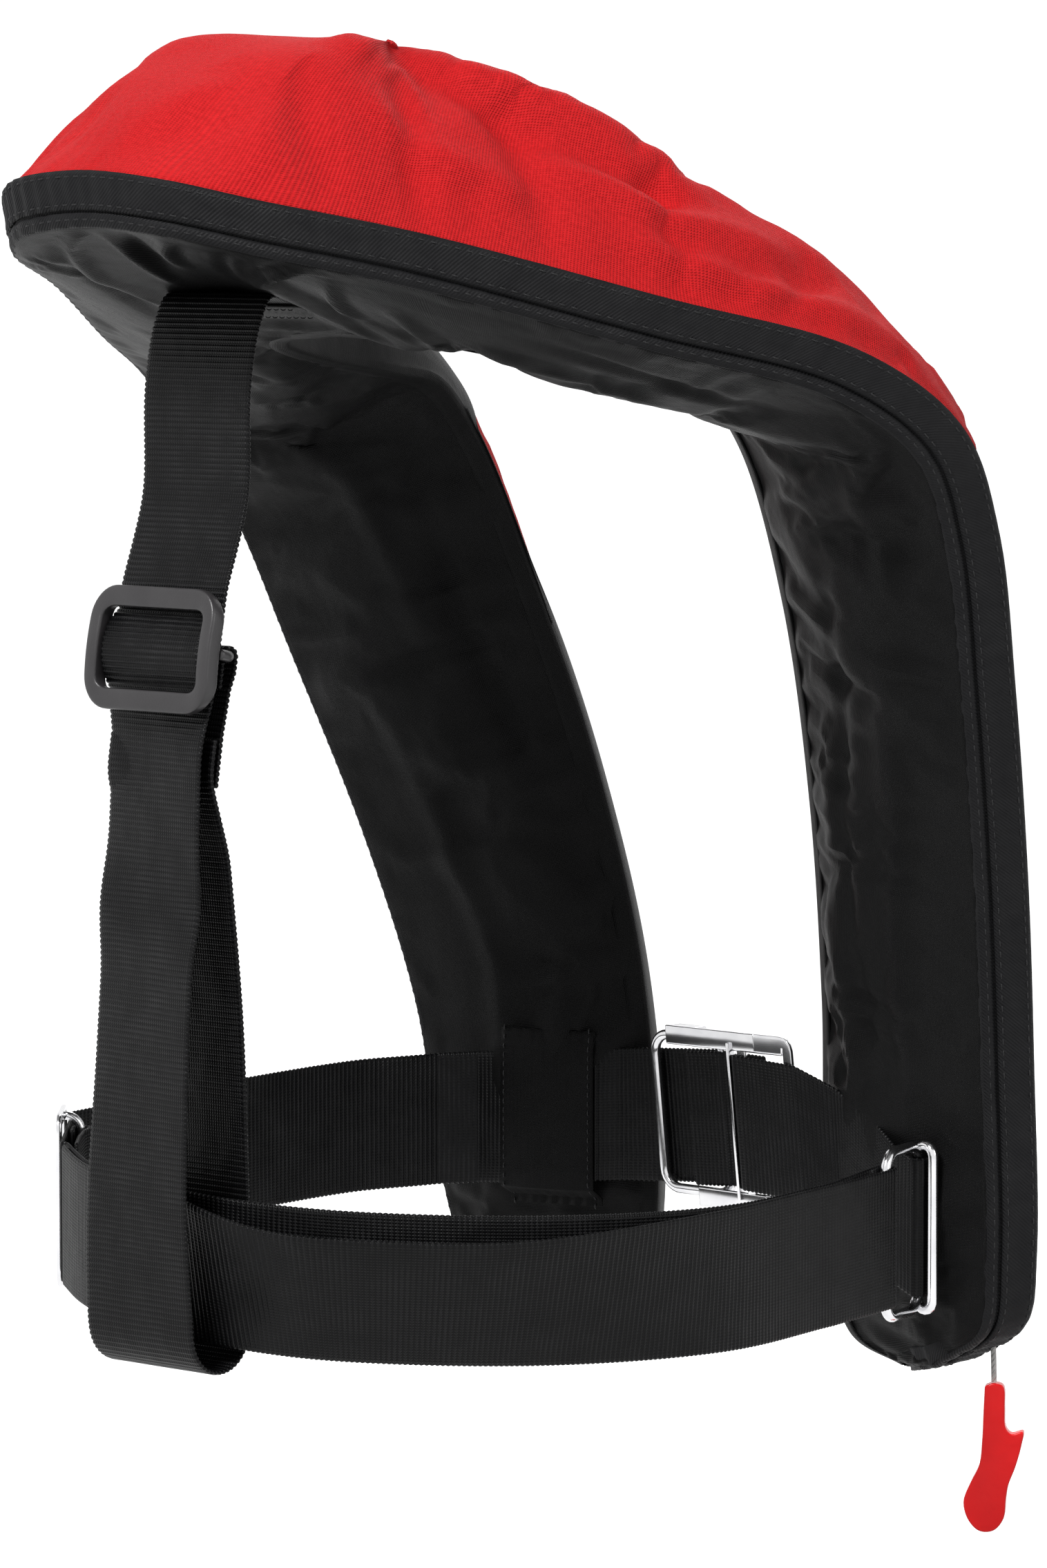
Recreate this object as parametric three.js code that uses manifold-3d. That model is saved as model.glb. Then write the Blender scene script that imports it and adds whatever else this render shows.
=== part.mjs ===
// Inflatable life jacket, closed and packed: a collar that lies behind the neck and two chest lobes,
// a waist belt with a steel buckle, and a back strap from the collar down to the belt.
// Millimetres, +Z up. The wearer looks along -Y and the wearer's right side is -X.
// The origin is where the collar rests on the nape of the neck.
import * as THREE from "three";
import { mergeVertices } from "three/addons/utils/BufferGeometryUtils.js";
import Module from "manifold-3d";

const wasm = await Module();
wasm.setup();

// ---------------------------------------------------------------- driving dimensions

const GAP = 0.3; // air between pieces that touch
const FABRIC = 1.6; // drawn thickness of the sewn cloth shells
const SIDE_WALL = 13; // height of the closed side, from lining edge to cover edge
const SIDE_SET_IN = 8; // how far the lining edge lies inside the cover edge
const LINING_SAG = 8; // how far the lining bellies towards the wearer
const COLLAR_LOFT = 75; // height of the packed bladder behind the neck
const LOBE_LOFT = 29; // the same on the chest lobes
const COVER_TAPE = 12; // width of the edge tape on the cover
const TAPE = 1.4; // thickness of the edge tapes
const BLADDER_TOP = -7; // height of the folded bladder in the lobes, from the edge plane
const BLADDER_CLEAR = 0.12 * COLLAR_LOFT; // space between bladder and cover behind the neck

const WEB = 50; // width of every strap
const WEB_THICK = 1.6;
const WIRE = 3.8; // diameter of the steel rings
const RING_INSIDE = WEB + 3; // clear height of the rings and the slots
const BELT_HEIGHT = -308; // middle of the waist belt at the back
const BELT_SLOPE = 0.07; // the belt hangs lower towards the wearer's right
const LOOP_RADIUS = 12; // turn of the back strap under the belt

const CYLINDER_RADIUS = 12; // gas cylinder
const CYLINDER_LENGTH = 108;
const INFLATOR = { wide: 34, deep: 24, tall: 50 };
const TUBE_RADIUS = 5.5; // oral inflation tube
const TUBE_LENGTH = 118;
const CORD = 2; // diameter of the pull cord
const CORD_DROP = 20; // cord that shows between the lobe and the tab
const TAB = { tall: 54, thick: 6, turned: 215 };

// Half of the outline, from the nape to the bottom of a lobe: [half width, y, z].
const OUTER_EDGE = [
  [0, 118, 57],
  [34, 115, 54],
  [59, 95, 47],
  [88, 48, 36],
  [134, -19, 15],
  [170, -77, -3],
  [183, -113, -28],
  [179, -138, -64],
  [170, -159, -118],
  [156, -185, -190],
  [145, -203, -256],
  [139, -213, -325],
  [131, -218, -351],
  [108, -220, -365],
];
const INNER_EDGE = [
  [0, -5, 4],
  [16, -7, 3],
  [32, -13, 2],
  [46, -26, -1],
  [58, -62, -7],
  [61, -98, -12],
  [63, -122, -17],
  [63.5, -144, -38],
  [60, -172, -94],
  [52, -197, -166],
  [45, -213, -240],
  [43, -219, -326],
  [52, -221, -363],
  [78, -221, -373],
];
// Loft of the cover at each of those places, as shares of the collar and lobe lofts.
const COLLAR_SHARE = [1, 1.02, 1.07, 1.08, 0.68, 0.17, 0, 0, 0, 0, 0, 0, 0, 0];
const LOBE_SHARE = [0, 0, 0, 0.1, 0.5, 0.85, 0.95, 1, 1, 1, 1, 1, 0.62, 0.12];
const LAST = OUTER_EDGE.length - 1;
const STEPS = 2; // sections drawn for each outline point

// ---------------------------------------------------------------- materials

const metal = (color, roughness) => new THREE.MeshStandardMaterial({ color, roughness, metalness: 1 });
const soft = (color, roughness = 0.9) => new THREE.MeshStandardMaterial({ color, roughness, metalness: 0 });
const RED_CLOTH = 0xd31f24;
const BLACK_CLOTH = 0x17171a;
const BLACK_WEB = 0x131316;
const STEEL = 0xc9cace;

// ---------------------------------------------------------------- solids

const jacket = new THREE.Group();

function place(name, geometry, material, parent = jacket) {
  const mesh = new THREE.Mesh(geometry, material);
  mesh.name = name;
  parent.add(mesh);
  return mesh;
}

function toSolid(geometry) {
  const bare = geometry.index ? geometry.toNonIndexed() : geometry.clone();
  bare.deleteAttribute("normal");
  bare.deleteAttribute("uv");
  const merged = mergeVertices(bare, 1e-4);
  return new wasm.Manifold(
    new wasm.Mesh({
      numProp: 3,
      vertProperties: new Float32Array(merged.attributes.position.array),
      triVerts: new Uint32Array(merged.index.array),
    }),
  );
}

function toGeometry(solid) {
  const mesh = solid.getMesh();
  const geometry = new THREE.BufferGeometry();
  geometry.setAttribute("position", new THREE.BufferAttribute(mesh.vertProperties, 3));
  geometry.setIndex(new THREE.BufferAttribute(mesh.triVerts, 1));
  geometry.computeVertexNormals();
  return geometry;
}

const join = (...parts) => toGeometry(parts.map(toSolid).reduce((a, b) => a.add(b)));
const cut = (body, ...tools) =>
  toGeometry(tools.map(toSolid).reduce((a, b) => a.subtract(b), toSolid(body)));
const box = (x, y, z) => new THREE.BoxGeometry(x, y, z);
const rod = (radius, length, sides = 20) => new THREE.CylinderGeometry(radius, radius, length, sides);
const alongZ = (geometry) => geometry.rotateX(Math.PI / 2);
const alongX = (geometry) => geometry.rotateZ(Math.PI / 2);

// A closed sheet between two grids of points: top[row][column] and bottom[row][column].
function sheet(top, bottom) {
  const rows = top.length;
  const columns = top[0].length;
  const count = rows * columns;
  const positions = [...top.flat(), ...bottom.flat()].flatMap((p) => [p.x, p.y, p.z]);
  const faces = [];
  const at = (layer, row, column) => layer * count + row * columns + column;
  const quad = (a, b, c, d) => faces.push(a, b, c, a, c, d);
  for (let r = 0; r + 1 < rows; r++) {
    for (let c = 0; c + 1 < columns; c++) {
      quad(at(0, r, c), at(0, r + 1, c), at(0, r + 1, c + 1), at(0, r, c + 1));
      quad(at(1, r, c), at(1, r, c + 1), at(1, r + 1, c + 1), at(1, r + 1, c));
    }
  }
  const rim = [];
  for (let r = 0; r < rows - 1; r++) rim.push([r, 0]);
  for (let c = 0; c < columns - 1; c++) rim.push([rows - 1, c]);
  for (let r = rows - 1; r > 0; r--) rim.push([r, columns - 1]);
  for (let c = columns - 1; c > 0; c--) rim.push([0, c]);
  rim.forEach(([r, c], i) => {
    const [r2, c2] = rim[(i + 1) % rim.length];
    quad(at(0, r, c), at(1, r, c), at(1, r2, c2), at(0, r2, c2));
  });
  const geometry = new THREE.BufferGeometry();
  geometry.setAttribute("position", new THREE.Float32BufferAttribute(positions, 3));
  geometry.setIndex(faces);
  return geometry;
}

// ---------------------------------------------------------------- the jacket's own surface

const mirrored = (points) => [
  ...points.slice(1).reverse().map(([w, y, z]) => new THREE.Vector3(w, y, z)),
  ...points.map(([w, y, z]) => new THREE.Vector3(-w, y, z)),
];
const outerCurve = new THREE.CatmullRomCurve3(mirrored(OUTER_EDGE));
const innerCurve = new THREE.CatmullRomCurve3(mirrored(INNER_EDGE));

function lerpTable(table, place) {
  const low = Math.min(Math.floor(place), table.length - 2);
  return THREE.MathUtils.lerp(table[low], table[low + 1], place - low);
}

// One section across the band. place runs from -LAST, the wearer's left lobe, to +LAST, the right.
function section(place) {
  const u = (place + LAST) / (2 * LAST);
  const outer = outerCurve.getPoint(u);
  const inner = innerCurve.getPoint(u);
  const step = 1e-3;
  const ahead = Math.min(u + step, 1);
  const behind = Math.max(u - step, 0);
  const along = outerCurve.getPoint(ahead).add(innerCurve.getPoint(ahead));
  along.sub(outerCurve.getPoint(behind)).sub(innerCurve.getPoint(behind)).normalize();
  const across = inner.clone().sub(outer).normalize();
  const out = along.clone().cross(across).normalize();
  const hem = outer.clone().addScaledVector(across, SIDE_SET_IN).addScaledVector(out, -SIDE_WALL);
  const half = Math.abs(place);
  const loft = COLLAR_LOFT * lerpTable(COLLAR_SHARE, half) + LOBE_LOFT * lerpTable(LOBE_SHARE, half);
  return { outer, inner, hem, across, out, along, loft, half };
}

const places = (from, to, count) =>
  Array.from({ length: count + 1 }, (_, i) => from + ((to - from) * i) / count);
const FULL = places(-LAST, LAST, 2 * LAST * STEPS).map(section);

const COLLAR_LEAN = 0.35; // the cover peaks nearer the neck behind it
const LOBE_LEAN = 0.4; // and nearer the inner edge on the lobes

// Height of the cover over the edge plane: t goes from the outer edge (0) to the inner edge (1).
function coverHeight(s, t, inset) {
  const collar = Math.min(1, lerpTable(COLLAR_SHARE, s.half));
  const crown = Math.pow(t, 1 + COLLAR_LEAN * collar + LOBE_LEAN * lerpTable(LOBE_SHARE, s.half));
  const round = Math.pow(1 - Math.pow(Math.abs(2 * crown - 1), 2.6), 0.8);
  return Math.max(s.loft - inset, 0.4) * round;
}

function coverPoint(s, t, inset) {
  const from = s.outer.clone().addScaledVector(s.across, inset);
  const to = s.inner.clone().addScaledVector(s.across, -inset);
  return from.lerp(to, t).addScaledVector(s.out, coverHeight(s, t, inset));
}

// A point on the lining; depth 0 is its hidden face and FABRIC is the face against the wearer.
function liningPoint(s, t, depth) {
  const belly = LINING_SAG * 4 * t * (1 - t) * Math.min(1, (LAST - s.half) * 0.6 + 0.15);
  return s.hem.clone().lerp(s.inner, t).addScaledVector(s.out, -(GAP + belly + depth));
}

// ---------------------------------------------------------------- cover, lining and bladder

const COVER_COLUMNS = [0, 0.04, 0.12, 0.26, 0.42, 0.58, 0.74, 0.88, 0.96, 1];
place(
  "cover_shell",
  sheet(
    FULL.map((s) => COVER_COLUMNS.map((t) => coverPoint(s, t, 0))),
    FULL.map((s) => COVER_COLUMNS.map((t) => coverPoint(s, t, FABRIC))),
  ),
  soft(RED_CLOTH),
);

const LINING_COLUMNS = [0, 0.2, 0.4, 0.6, 0.8, 1];
place(
  "lining_panel",
  sheet(
    FULL.map((s) => LINING_COLUMNS.map((t) => liningPoint(s, t, 0))),
    FULL.map((s) => LINING_COLUMNS.map((t) => liningPoint(s, t, FABRIC))),
  ),
  soft(BLACK_CLOTH, 0.6),
);

// The bladder is folded flat in the lobes and thick behind the neck.
const BLADDER_COLUMNS = LINING_COLUMNS.slice(1, -1);
const bladderSections = FULL.slice(3, -3);
function bladderTop(s, t) {
  const share = Math.min(1, lerpTable(COLLAR_SHARE, s.half));
  const height = THREE.MathUtils.lerp(BLADDER_TOP, coverHeight(s, t, BLADDER_CLEAR), share);
  return s.outer.clone().lerp(s.inner, t).addScaledVector(s.out, height);
}
place(
  "bladder",
  sheet(
    bladderSections.map((s) => BLADDER_COLUMNS.map((t) => bladderTop(s, t))),
    bladderSections.map((s) => BLADDER_COLUMNS.map((t) => liningPoint(s, t, -GAP))),
  ),
  soft(0xe8c51c, 0.5),
);

// A soft band is sewn over the neck edge of the cover.
const NECK_BAND = 1.2; // thickness
const NECK_CLEAR = 2 * GAP;
const NECK_END = 7.5; // place on each side where it ends
const neckSections = FULL.filter((s) => s.half <= NECK_END);
const neckColumns = [0.84, 0.88, 0.92, 0.96, 1];
place(
  "neck_band",
  sheet(
    neckSections.map((s) => neckColumns.map((t) => coverPoint(s, t, -NECK_CLEAR - NECK_BAND))),
    neckSections.map((s) => neckColumns.map((t) => coverPoint(s, t, -NECK_CLEAR))),
  ),
  soft(BLACK_CLOTH, 0.9),
);

// ---------------------------------------------------------------- edge tapes and side closure

// A strip that follows the outline: corners are [along the band, out of it] offsets from the edge.
function edgeStrip(sections, corners) {
  const ring = (s) =>
    corners.map(([a, o]) => s.outer.clone().addScaledVector(s.across, a).addScaledVector(s.out, o));
  const grid = sections.map(ring);
  return sheet(
    grid.map((p) => [p[0], p[1]]),
    grid.map((p) => [p[3], p[2]]),
  );
}

// The tapes stop where the pull cord leaves the bottom of the lobe.
const TAPE_END = LAST - 0.9;
const taped = FULL.filter((s) => s.half < TAPE_END);
const wallLean = SIDE_SET_IN / SIDE_WALL;
const onWall = (drop, proud) => [wallLean * drop - proud, -drop];
const COVER_TAPE_TOP = -1;
const COVER_TAPE_LOW = COVER_TAPE + COVER_TAPE_TOP;
place(
  "cover_edge_tape",
  edgeStrip(taped, [
    onWall(COVER_TAPE_TOP, GAP + TAPE),
    onWall(COVER_TAPE_LOW, GAP + TAPE),
    onWall(COVER_TAPE_LOW, GAP),
    onWall(COVER_TAPE_TOP, GAP),
  ].reverse()),
  soft(BLACK_WEB),
);
const CLOSURE_TOP = 1.2;
place(
  "side_closure",
  edgeStrip(taped, [
    onWall(CLOSURE_TOP, 0),
    onWall(SIDE_WALL - GAP, 0),
    onWall(SIDE_WALL - GAP, -TAPE),
    onWall(CLOSURE_TOP, -TAPE - FABRIC),
  ].reverse()),
  soft(BLACK_WEB, 0.7),
);
const liningTape = [-0.008, 0.045, 0.09];
place(
  "lining_edge_tape",
  sheet(
    taped.map((s) => liningTape.map((t) => liningPoint(s, t, FABRIC + GAP))),
    taped.map((s) => liningTape.map((t) => liningPoint(s, t, FABRIC + GAP + TAPE))),
  ),
  soft(BLACK_WEB),
);

// ---------------------------------------------------------------- webbing

const SPACING = WEB_THICK + 0.4; // centre to centre of two layers that lie together
const WRAP = WIRE / 2 + GAP + WEB_THICK / 2 + 0.35; // centre-line radius of webbing sewn round a ring

const v2 = (x, y) => new THREE.Vector2(x, y);
const smooth = (points, perSpan = 4) => {
  const curve = new THREE.CatmullRomCurve3(points.map((p) => new THREE.Vector3(p.x, p.y, 0)));
  return curve.getPoints((points.length - 1) * perSpan).map((p) => v2(p.x, p.y));
};
const arc = (centre, radius, from, to, steps = 8) =>
  places(from, to, steps).map((a) => v2(centre.x + radius * Math.cos(a), centre.y + radius * Math.sin(a)));

// Webbing seen along its width: the path is its centre line, and the outline lies half a thickness off.
function webOutline(path, thickness = WEB_THICK) {
  const sides = [1, -1].map((sign) =>
    path.map((p, i) => {
      const before = path[Math.max(i - 1, 0)];
      const after = path[Math.min(i + 1, path.length - 1)];
      const d1 = p.clone().sub(before).normalize();
      const d2 = after.clone().sub(p).normalize();
      const d = i === 0 ? d2 : i === path.length - 1 ? d1 : d1.clone().add(d2).normalize();
      const stretch = i === 0 || i === path.length - 1 ? 1 : 1 / Math.max(d.dot(d1), 0.7);
      return v2(p.x - d.y * sign * stretch * thickness / 2, p.y + d.x * sign * stretch * thickness / 2);
    }),
  );
  return new THREE.Shape([...sides[0], ...sides[1].reverse()]);
}

const extrude = (shape, depth) =>
  new THREE.ExtrudeGeometry(shape, { depth, bevelEnabled: false, curveSegments: 6 });
const middle = (geometry, depth) => geometry.translate(0, 0, -depth / 2);

// Belt webbing: the path is seen from above, and heightAt gives the middle of the belt there.
function beltWeb(path, heightAt, width = WEB, thickness = WEB_THICK) {
  const geometry = middle(extrude(webOutline(path, thickness), width), width);
  const p = geometry.attributes.position;
  for (let i = 0; i < p.count; i++) p.setZ(i, p.getZ(i) + heightAt(p.getX(i), p.getY(i)));
  return geometry;
}

// Back strap webbing: the path is seen from the wearer's left, in y and z.
const sideways = new THREE.Matrix4().makeBasis(
  new THREE.Vector3(0, 1, 0),
  new THREE.Vector3(0, 0, 1),
  new THREE.Vector3(1, 0, 0),
);
const strapWeb = (path, width = WEB, thickness = WEB_THICK) =>
  middle(extrude(webOutline(path, thickness), width), width).applyMatrix4(sideways);

const roundedRect = (w, h, r) => {
  const s = new THREE.Shape();
  s.moveTo(-w / 2 + r, -h / 2);
  s.lineTo(w / 2 - r, -h / 2);
  s.absarc(w / 2 - r, -h / 2 + r, r, -Math.PI / 2, 0);
  s.lineTo(w / 2, h / 2 - r);
  s.absarc(w / 2 - r, h / 2 - r, r, 0, Math.PI / 2);
  s.lineTo(-w / 2 + r, h / 2);
  s.absarc(-w / 2 + r, h / 2 - r, r, Math.PI / 2, Math.PI);
  s.lineTo(-w / 2, -h / 2 + r);
  s.absarc(-w / 2 + r, -h / 2 + r, r, Math.PI, 1.5 * Math.PI);
  return s;
};

// A closed wire ring of round section, flat in x and z, centred on its centre line.
function wireRing(width, height, corner, wire = WIRE, sides = 8) {
  const centre = roundedRect(width, height, corner).getPoints(4);
  const loop = centre.filter((p, i) => i === 0 || p.distanceTo(centre[i - 1]) > 1e-6);
  if (loop[0].distanceTo(loop.at(-1)) < 1e-6) loop.pop();
  const rings = loop.map((p, i) => {
    const d = loop[(i + 1) % loop.length].clone().sub(loop.at(i - 1)).normalize();
    return Array.from({ length: sides }, (_, k) => {
      const a = (2 * Math.PI * k) / sides;
      const side = (Math.cos(a) * wire) / 2;
      return [p.x + d.y * side, (Math.sin(a) * wire) / 2, p.y - d.x * side];
    });
  });
  const faces = [];
  const at = (i, k) => (i % loop.length) * sides + (k % sides);
  for (let i = 0; i < loop.length; i++) {
    for (let k = 0; k < sides; k++) {
      faces.push(at(i, k), at(i, k + 1), at(i + 1, k + 1), at(i, k), at(i + 1, k + 1), at(i + 1, k));
    }
  }
  const geometry = new THREE.BufferGeometry();
  geometry.setAttribute("position", new THREE.Float32BufferAttribute(rings.flat(2), 3));
  geometry.setIndex(faces);
  return geometry;
}

const STRAP_SLIDER = { length: 40, width: 60, slot: 27, corner: 7, thick: 3.2, middleRadius: 1.8 };
const BELT_SLIDER = { length: 34, width: 62, slot: 24, corner: 3, thick: 2, middleRadius: 1.6 };
const barDrop = (s) => WEB_THICK / 2 + GAP + WEB_THICK + GAP + s.middleRadius + 0.3;

// A slide with two outer bars over the webbing and a middle bar under it. It lies in x (along the
// webbing) and y (along the bars), with +z away from the wearer and z = 0 in the running webbing.
function slide({ length, width, slot, corner, thick, middleRadius }) {
  const middleDrop = barDrop({ middleRadius });
  const lift = WEB_THICK / 2 + GAP;
  const outline = roundedRect(length, width, corner);
  outline.holes.push(roundedRect(slot, RING_INSIDE, 1.5));
  const face = extrude(outline, thick).translate(0, 0, lift);
  const cheekWide = (width - RING_INSIDE) / 2;
  const cheekLong = 4 * middleRadius;
  const cheekTall = middleDrop + middleRadius + lift + 0.5;
  const cheeks = [1, -1].map((side) =>
    box(cheekLong, cheekWide, cheekTall).translate(
      0,
      side * (RING_INSIDE + cheekWide) / 2,
      lift + 0.5 - cheekTall / 2,
    ),
  );
  const middleBar = rod(middleRadius, RING_INSIDE + cheekWide, 12).translate(0, 0, -middleDrop);
  return join(face, ...cheeks, middleBar);
}

// ---------------------------------------------------------------- back strap

const strapSlider = v2(80, -102);
const strapDown = v2(0.17, -0.985).normalize();
const strapOut = v2(-strapDown.y, strapDown.x);
const onStrap = (down, out) =>
  strapSlider.clone().addScaledVector(strapDown, down).addScaledVector(strapOut, out);

const nape = section(0.8); // the lining hangs lowest at the edges of the strap
const underLining = (t) => {
  const p = liningPoint(nape, t, FABRIC + GAP + 0.1 + WEB_THICK / 2);
  return v2(p.y, p.z);
};
const loopRear = v2(91, -330);
const loopFront = v2(91 - 2 * LOOP_RADIUS, -330);
const loopCentre = v2(91 - LOOP_RADIUS, -330);
const strapSewn = [underLining(0.7), underLining(0.62), underLining(0.56)];
place(
  "back_strap",
  strapWeb([
    ...strapSewn,
    ...smooth([v2(56.5, 3), v2(62, -18), onStrap(-40, 0)]),
    onStrap(40, 0),
    ...smooth([v2(88.5, -170), v2(91, -230), v2(92, -285), loopRear]),
    ...arc(loopCentre, LOOP_RADIUS, 0, -Math.PI).slice(1),
    ...smooth([v2(67.5, -285), v2(70, -225), v2(76.5, -170)]),
    onStrap(42, -SPACING),
    onStrap(30, -SPACING),
  ]),
  soft(BLACK_WEB),
);

// The sewn end of the strap goes round the middle bar of the slider and moves with it.
function sewnEnd(s, arm, tail) {
  const drop = barDrop(s);
  const turn = s.middleRadius + GAP + WEB_THICK / 2 + 0.1;
  const centre = v2(0, -drop);
  return [
    v2(arm, -drop + turn),
    ...arc(centre, turn, Math.PI / 2, 1.5 * Math.PI),
    v2(turn + 2, -drop - turn),
    v2(arm, -drop - turn + 1.5),
    v2(tail, -2 * SPACING - 0.6),
  ];
}
const strapFrame = new THREE.Group();
strapFrame.position.set(0, strapSlider.x, strapSlider.y);
strapFrame.setRotationFromMatrix(
  new THREE.Matrix4().makeBasis(
    new THREE.Vector3(0, strapDown.x, strapDown.y),
    new THREE.Vector3(-1, 0, 0),
    new THREE.Vector3(0, strapOut.x, strapOut.y),
  ),
);
jacket.add(strapFrame);
place("back_strap_slider", slide(STRAP_SLIDER), soft(0x2b2a2c, 0.45), strapFrame);
// Webbing drawn across a slide's width lies along its y.
const across = (path) => middle(extrude(webOutline(path), WEB), WEB).rotateX(Math.PI / 2);
place("back_strap_end", across(sewnEnd(STRAP_SLIDER, 11, 26)), soft(BLACK_WEB), strapFrame);

// A patch sewn over the strap's flat end, under the collar.
const patchPath = [0.72, 0.66, 0.6].map((t) => {
  const p = liningPoint(nape, t, FABRIC + GAP + WEB_THICK + GAP + 0.6);
  return v2(p.y, p.z);
});
place("back_strap_patch", strapWeb(patchPath, WEB + 10, 1.2), soft(BLACK_CLOTH, 0.8));

// ---------------------------------------------------------------- waist belt

const FRONT_RISE = 13; // the belt is higher where it meets the left lobe
const BUCKLE_RISE = 7; // and higher again at the buckle
const BACK = 79; // the belt's middle line behind the wearer
const buckleRing = { right: v2(-3, -207), left: v2(30, -207), height: RING_INSIDE + WIRE, corner: 7 };
const lobeRing = { held: v2(-106, -190), pulled: v2(-113, -163), height: RING_INSIDE + WIRE + 2, corner: 7 };

const leftLobeX = 106;
function beltHeight(x, y) {
  const front = y < -150 && x > -20;
  if (x <= 0 && !front) return BELT_HEIGHT + BELT_SLOPE * x;
  const forward = THREE.MathUtils.clamp((BACK - y) / (BACK - buckleRing.left.y), 0, 1);
  const atFront = THREE.MathUtils.smoothstep(-y, 150, 200);
  return BELT_HEIGHT + FRONT_RISE * forward + BUCKLE_RISE * atFront * (1 - x / leftLobeX);
}
const buckleHeight = beltHeight(buckleRing.right.x, buckleRing.right.y);
const ringHeight = beltHeight(lobeRing.pulled.x, lobeRing.pulled.y);

const beltSlider = v2(120, 11);
const beltBack = v2(-0.669, 0.743).normalize();
const beltOut = v2(beltBack.y, -beltBack.x);
const onBelt = (back, out) => beltSlider.clone().addScaledVector(beltBack, back).addScaledVector(beltOut, out);

// How far back a lobe's lining reaches beside a strap that crosses it at x and height z.
const lobeFaces = [...places(-LAST, -6, 56), ...places(6, LAST, 56)].map(section).flatMap((s) =>
  places(0, 1, 20).map((t) => liningPoint(s, t, FABRIC)),
);
function wearerFace(x, z, reach = WEB / 2 + 5) {
  const near = lobeFaces.filter((p) => Math.abs(p.x - x) < 6 && Math.abs(p.z - z) < reach);
  return Math.max(...near.map((p) => p.y));
}
const overLobe = (x, height, layers = 0) =>
  v2(x, wearerFace(x, height) + GAP + WEB_THICK / 2 + layers * SPACING);

// Two layers of the belt run from the slider round the back to the ring on the right lobe.
const offsetPath = (points, off) =>
  points.map((p, i) => {
    const d = points[Math.min(i + 1, points.length - 1)].clone().sub(points[Math.max(i - 1, 0)]).normalize();
    return v2(p.x + d.y * off, p.y - d.x * off);
  });
const nearEnd = v2(-122, -122);
const doubled = smooth([
  onBelt(34, -SPACING / 2),
  v2(62, 59),
  v2(32, 73),
  v2(0, BACK),
  v2(-30, 75),
  v2(-62, 58),
  v2(-105, 6),
  v2(-127, -58),
  nearEnd,
]);
const pull = lobeRing.pulled.clone().sub(nearEnd);
const pullAngle = Math.atan2(pull.y, pull.x);
const leftHeight = beltHeight(leftLobeX, buckleRing.left.y);
const acrossLeft = [50, 58, 70, 82, 94, leftLobeX].map((x) => overLobe(x, leftHeight));
place(
  "waist_belt",
  beltWeb(
    [
      v2(buckleRing.right.x + 15, buckleRing.right.y + WRAP),
      ...arc(buckleRing.right, WRAP, Math.PI / 2, 1.5 * Math.PI),
      v2(buckleRing.left.x, buckleRing.left.y - WRAP),
      ...acrossLeft,
      ...smooth([v2(119, -182), v2(133, -148), v2(140, -95), v2(141, -50), onBelt(-32, 0)], 3),
      onBelt(32, 0),
      ...offsetPath(doubled, -SPACING / 2),
      ...arc(lobeRing.pulled, WRAP, pullAngle + Math.PI / 2, pullAngle - Math.PI / 2).slice(1),
      ...offsetPath(doubled, SPACING / 2).reverse().slice(0, -1),
    ],
    beltHeight,
  ),
  soft(BLACK_WEB),
);

// The slider at the left of the back, and the belt's sewn end round its middle bar.
const beltFrame = new THREE.Group();
beltFrame.position.set(beltSlider.x, beltSlider.y, beltHeight(beltSlider.x, beltSlider.y));
beltFrame.setRotationFromMatrix(
  new THREE.Matrix4().makeBasis(
    new THREE.Vector3(beltBack.x, beltBack.y, 0),
    new THREE.Vector3(0, 0, 1),
    new THREE.Vector3(beltOut.x, beltOut.y, 0),
  ),
);
jacket.add(beltFrame);
place("waist_belt_slider", slide(BELT_SLIDER), metal(STEEL, 0.25), beltFrame);
place("waist_belt_end", across(sewnEnd(BELT_SLIDER, 10, 24)), soft(BLACK_WEB), beltFrame);

// The keeper: a cloth sleeve on the left lining that the belt runs through.
function keeper(name, web, height) {
  const reach = (WEB + 16) / 2;
  const step = WEB / 2 + 2.5;
  const rows = [-reach, -step - 1.5, -step, step, step + 1.5, reach];
  const grid = (skin) =>
    web.map((p) =>
      rows.map((dz) => {
        const over = p.y + WEB_THICK / 2 + GAP;
        const beside = wearerFace(p.x, height + dz, 9) + GAP;
        const y = Math.abs(dz) > step ? Math.min(beside, over) : over;
        return new THREE.Vector3(p.x, y + skin, height + dz);
      }),
    );
  place(name, sheet(grid(0.7), grid(1.7)), soft(BLACK_CLOTH, 0.8));
}
keeper("belt_keeper", acrossLeft.slice(1, 5), leftHeight + 1.4);

// ---------------------------------------------------------------- buckle and rings

const upright = new THREE.Vector3(0, 0, 1);
function ringBetween(name, a, b, z, { height, corner }) {
  const span = b.clone().sub(a);
  const group = new THREE.Group();
  group.position.set((a.x + b.x) / 2, (a.y + b.y) / 2, z);
  group.setRotationFromAxisAngle(upright, Math.atan2(span.y, span.x));
  jacket.add(group);
  place(name, wireRing(span.length(), height, corner), metal(STEEL, 0.18), group);
}
ringBetween("buckle_ring", buckleRing.right, buckleRing.left, buckleHeight, buckleRing);
ringBetween("belt_ring", lobeRing.held, lobeRing.pulled, ringHeight, lobeRing);

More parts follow.
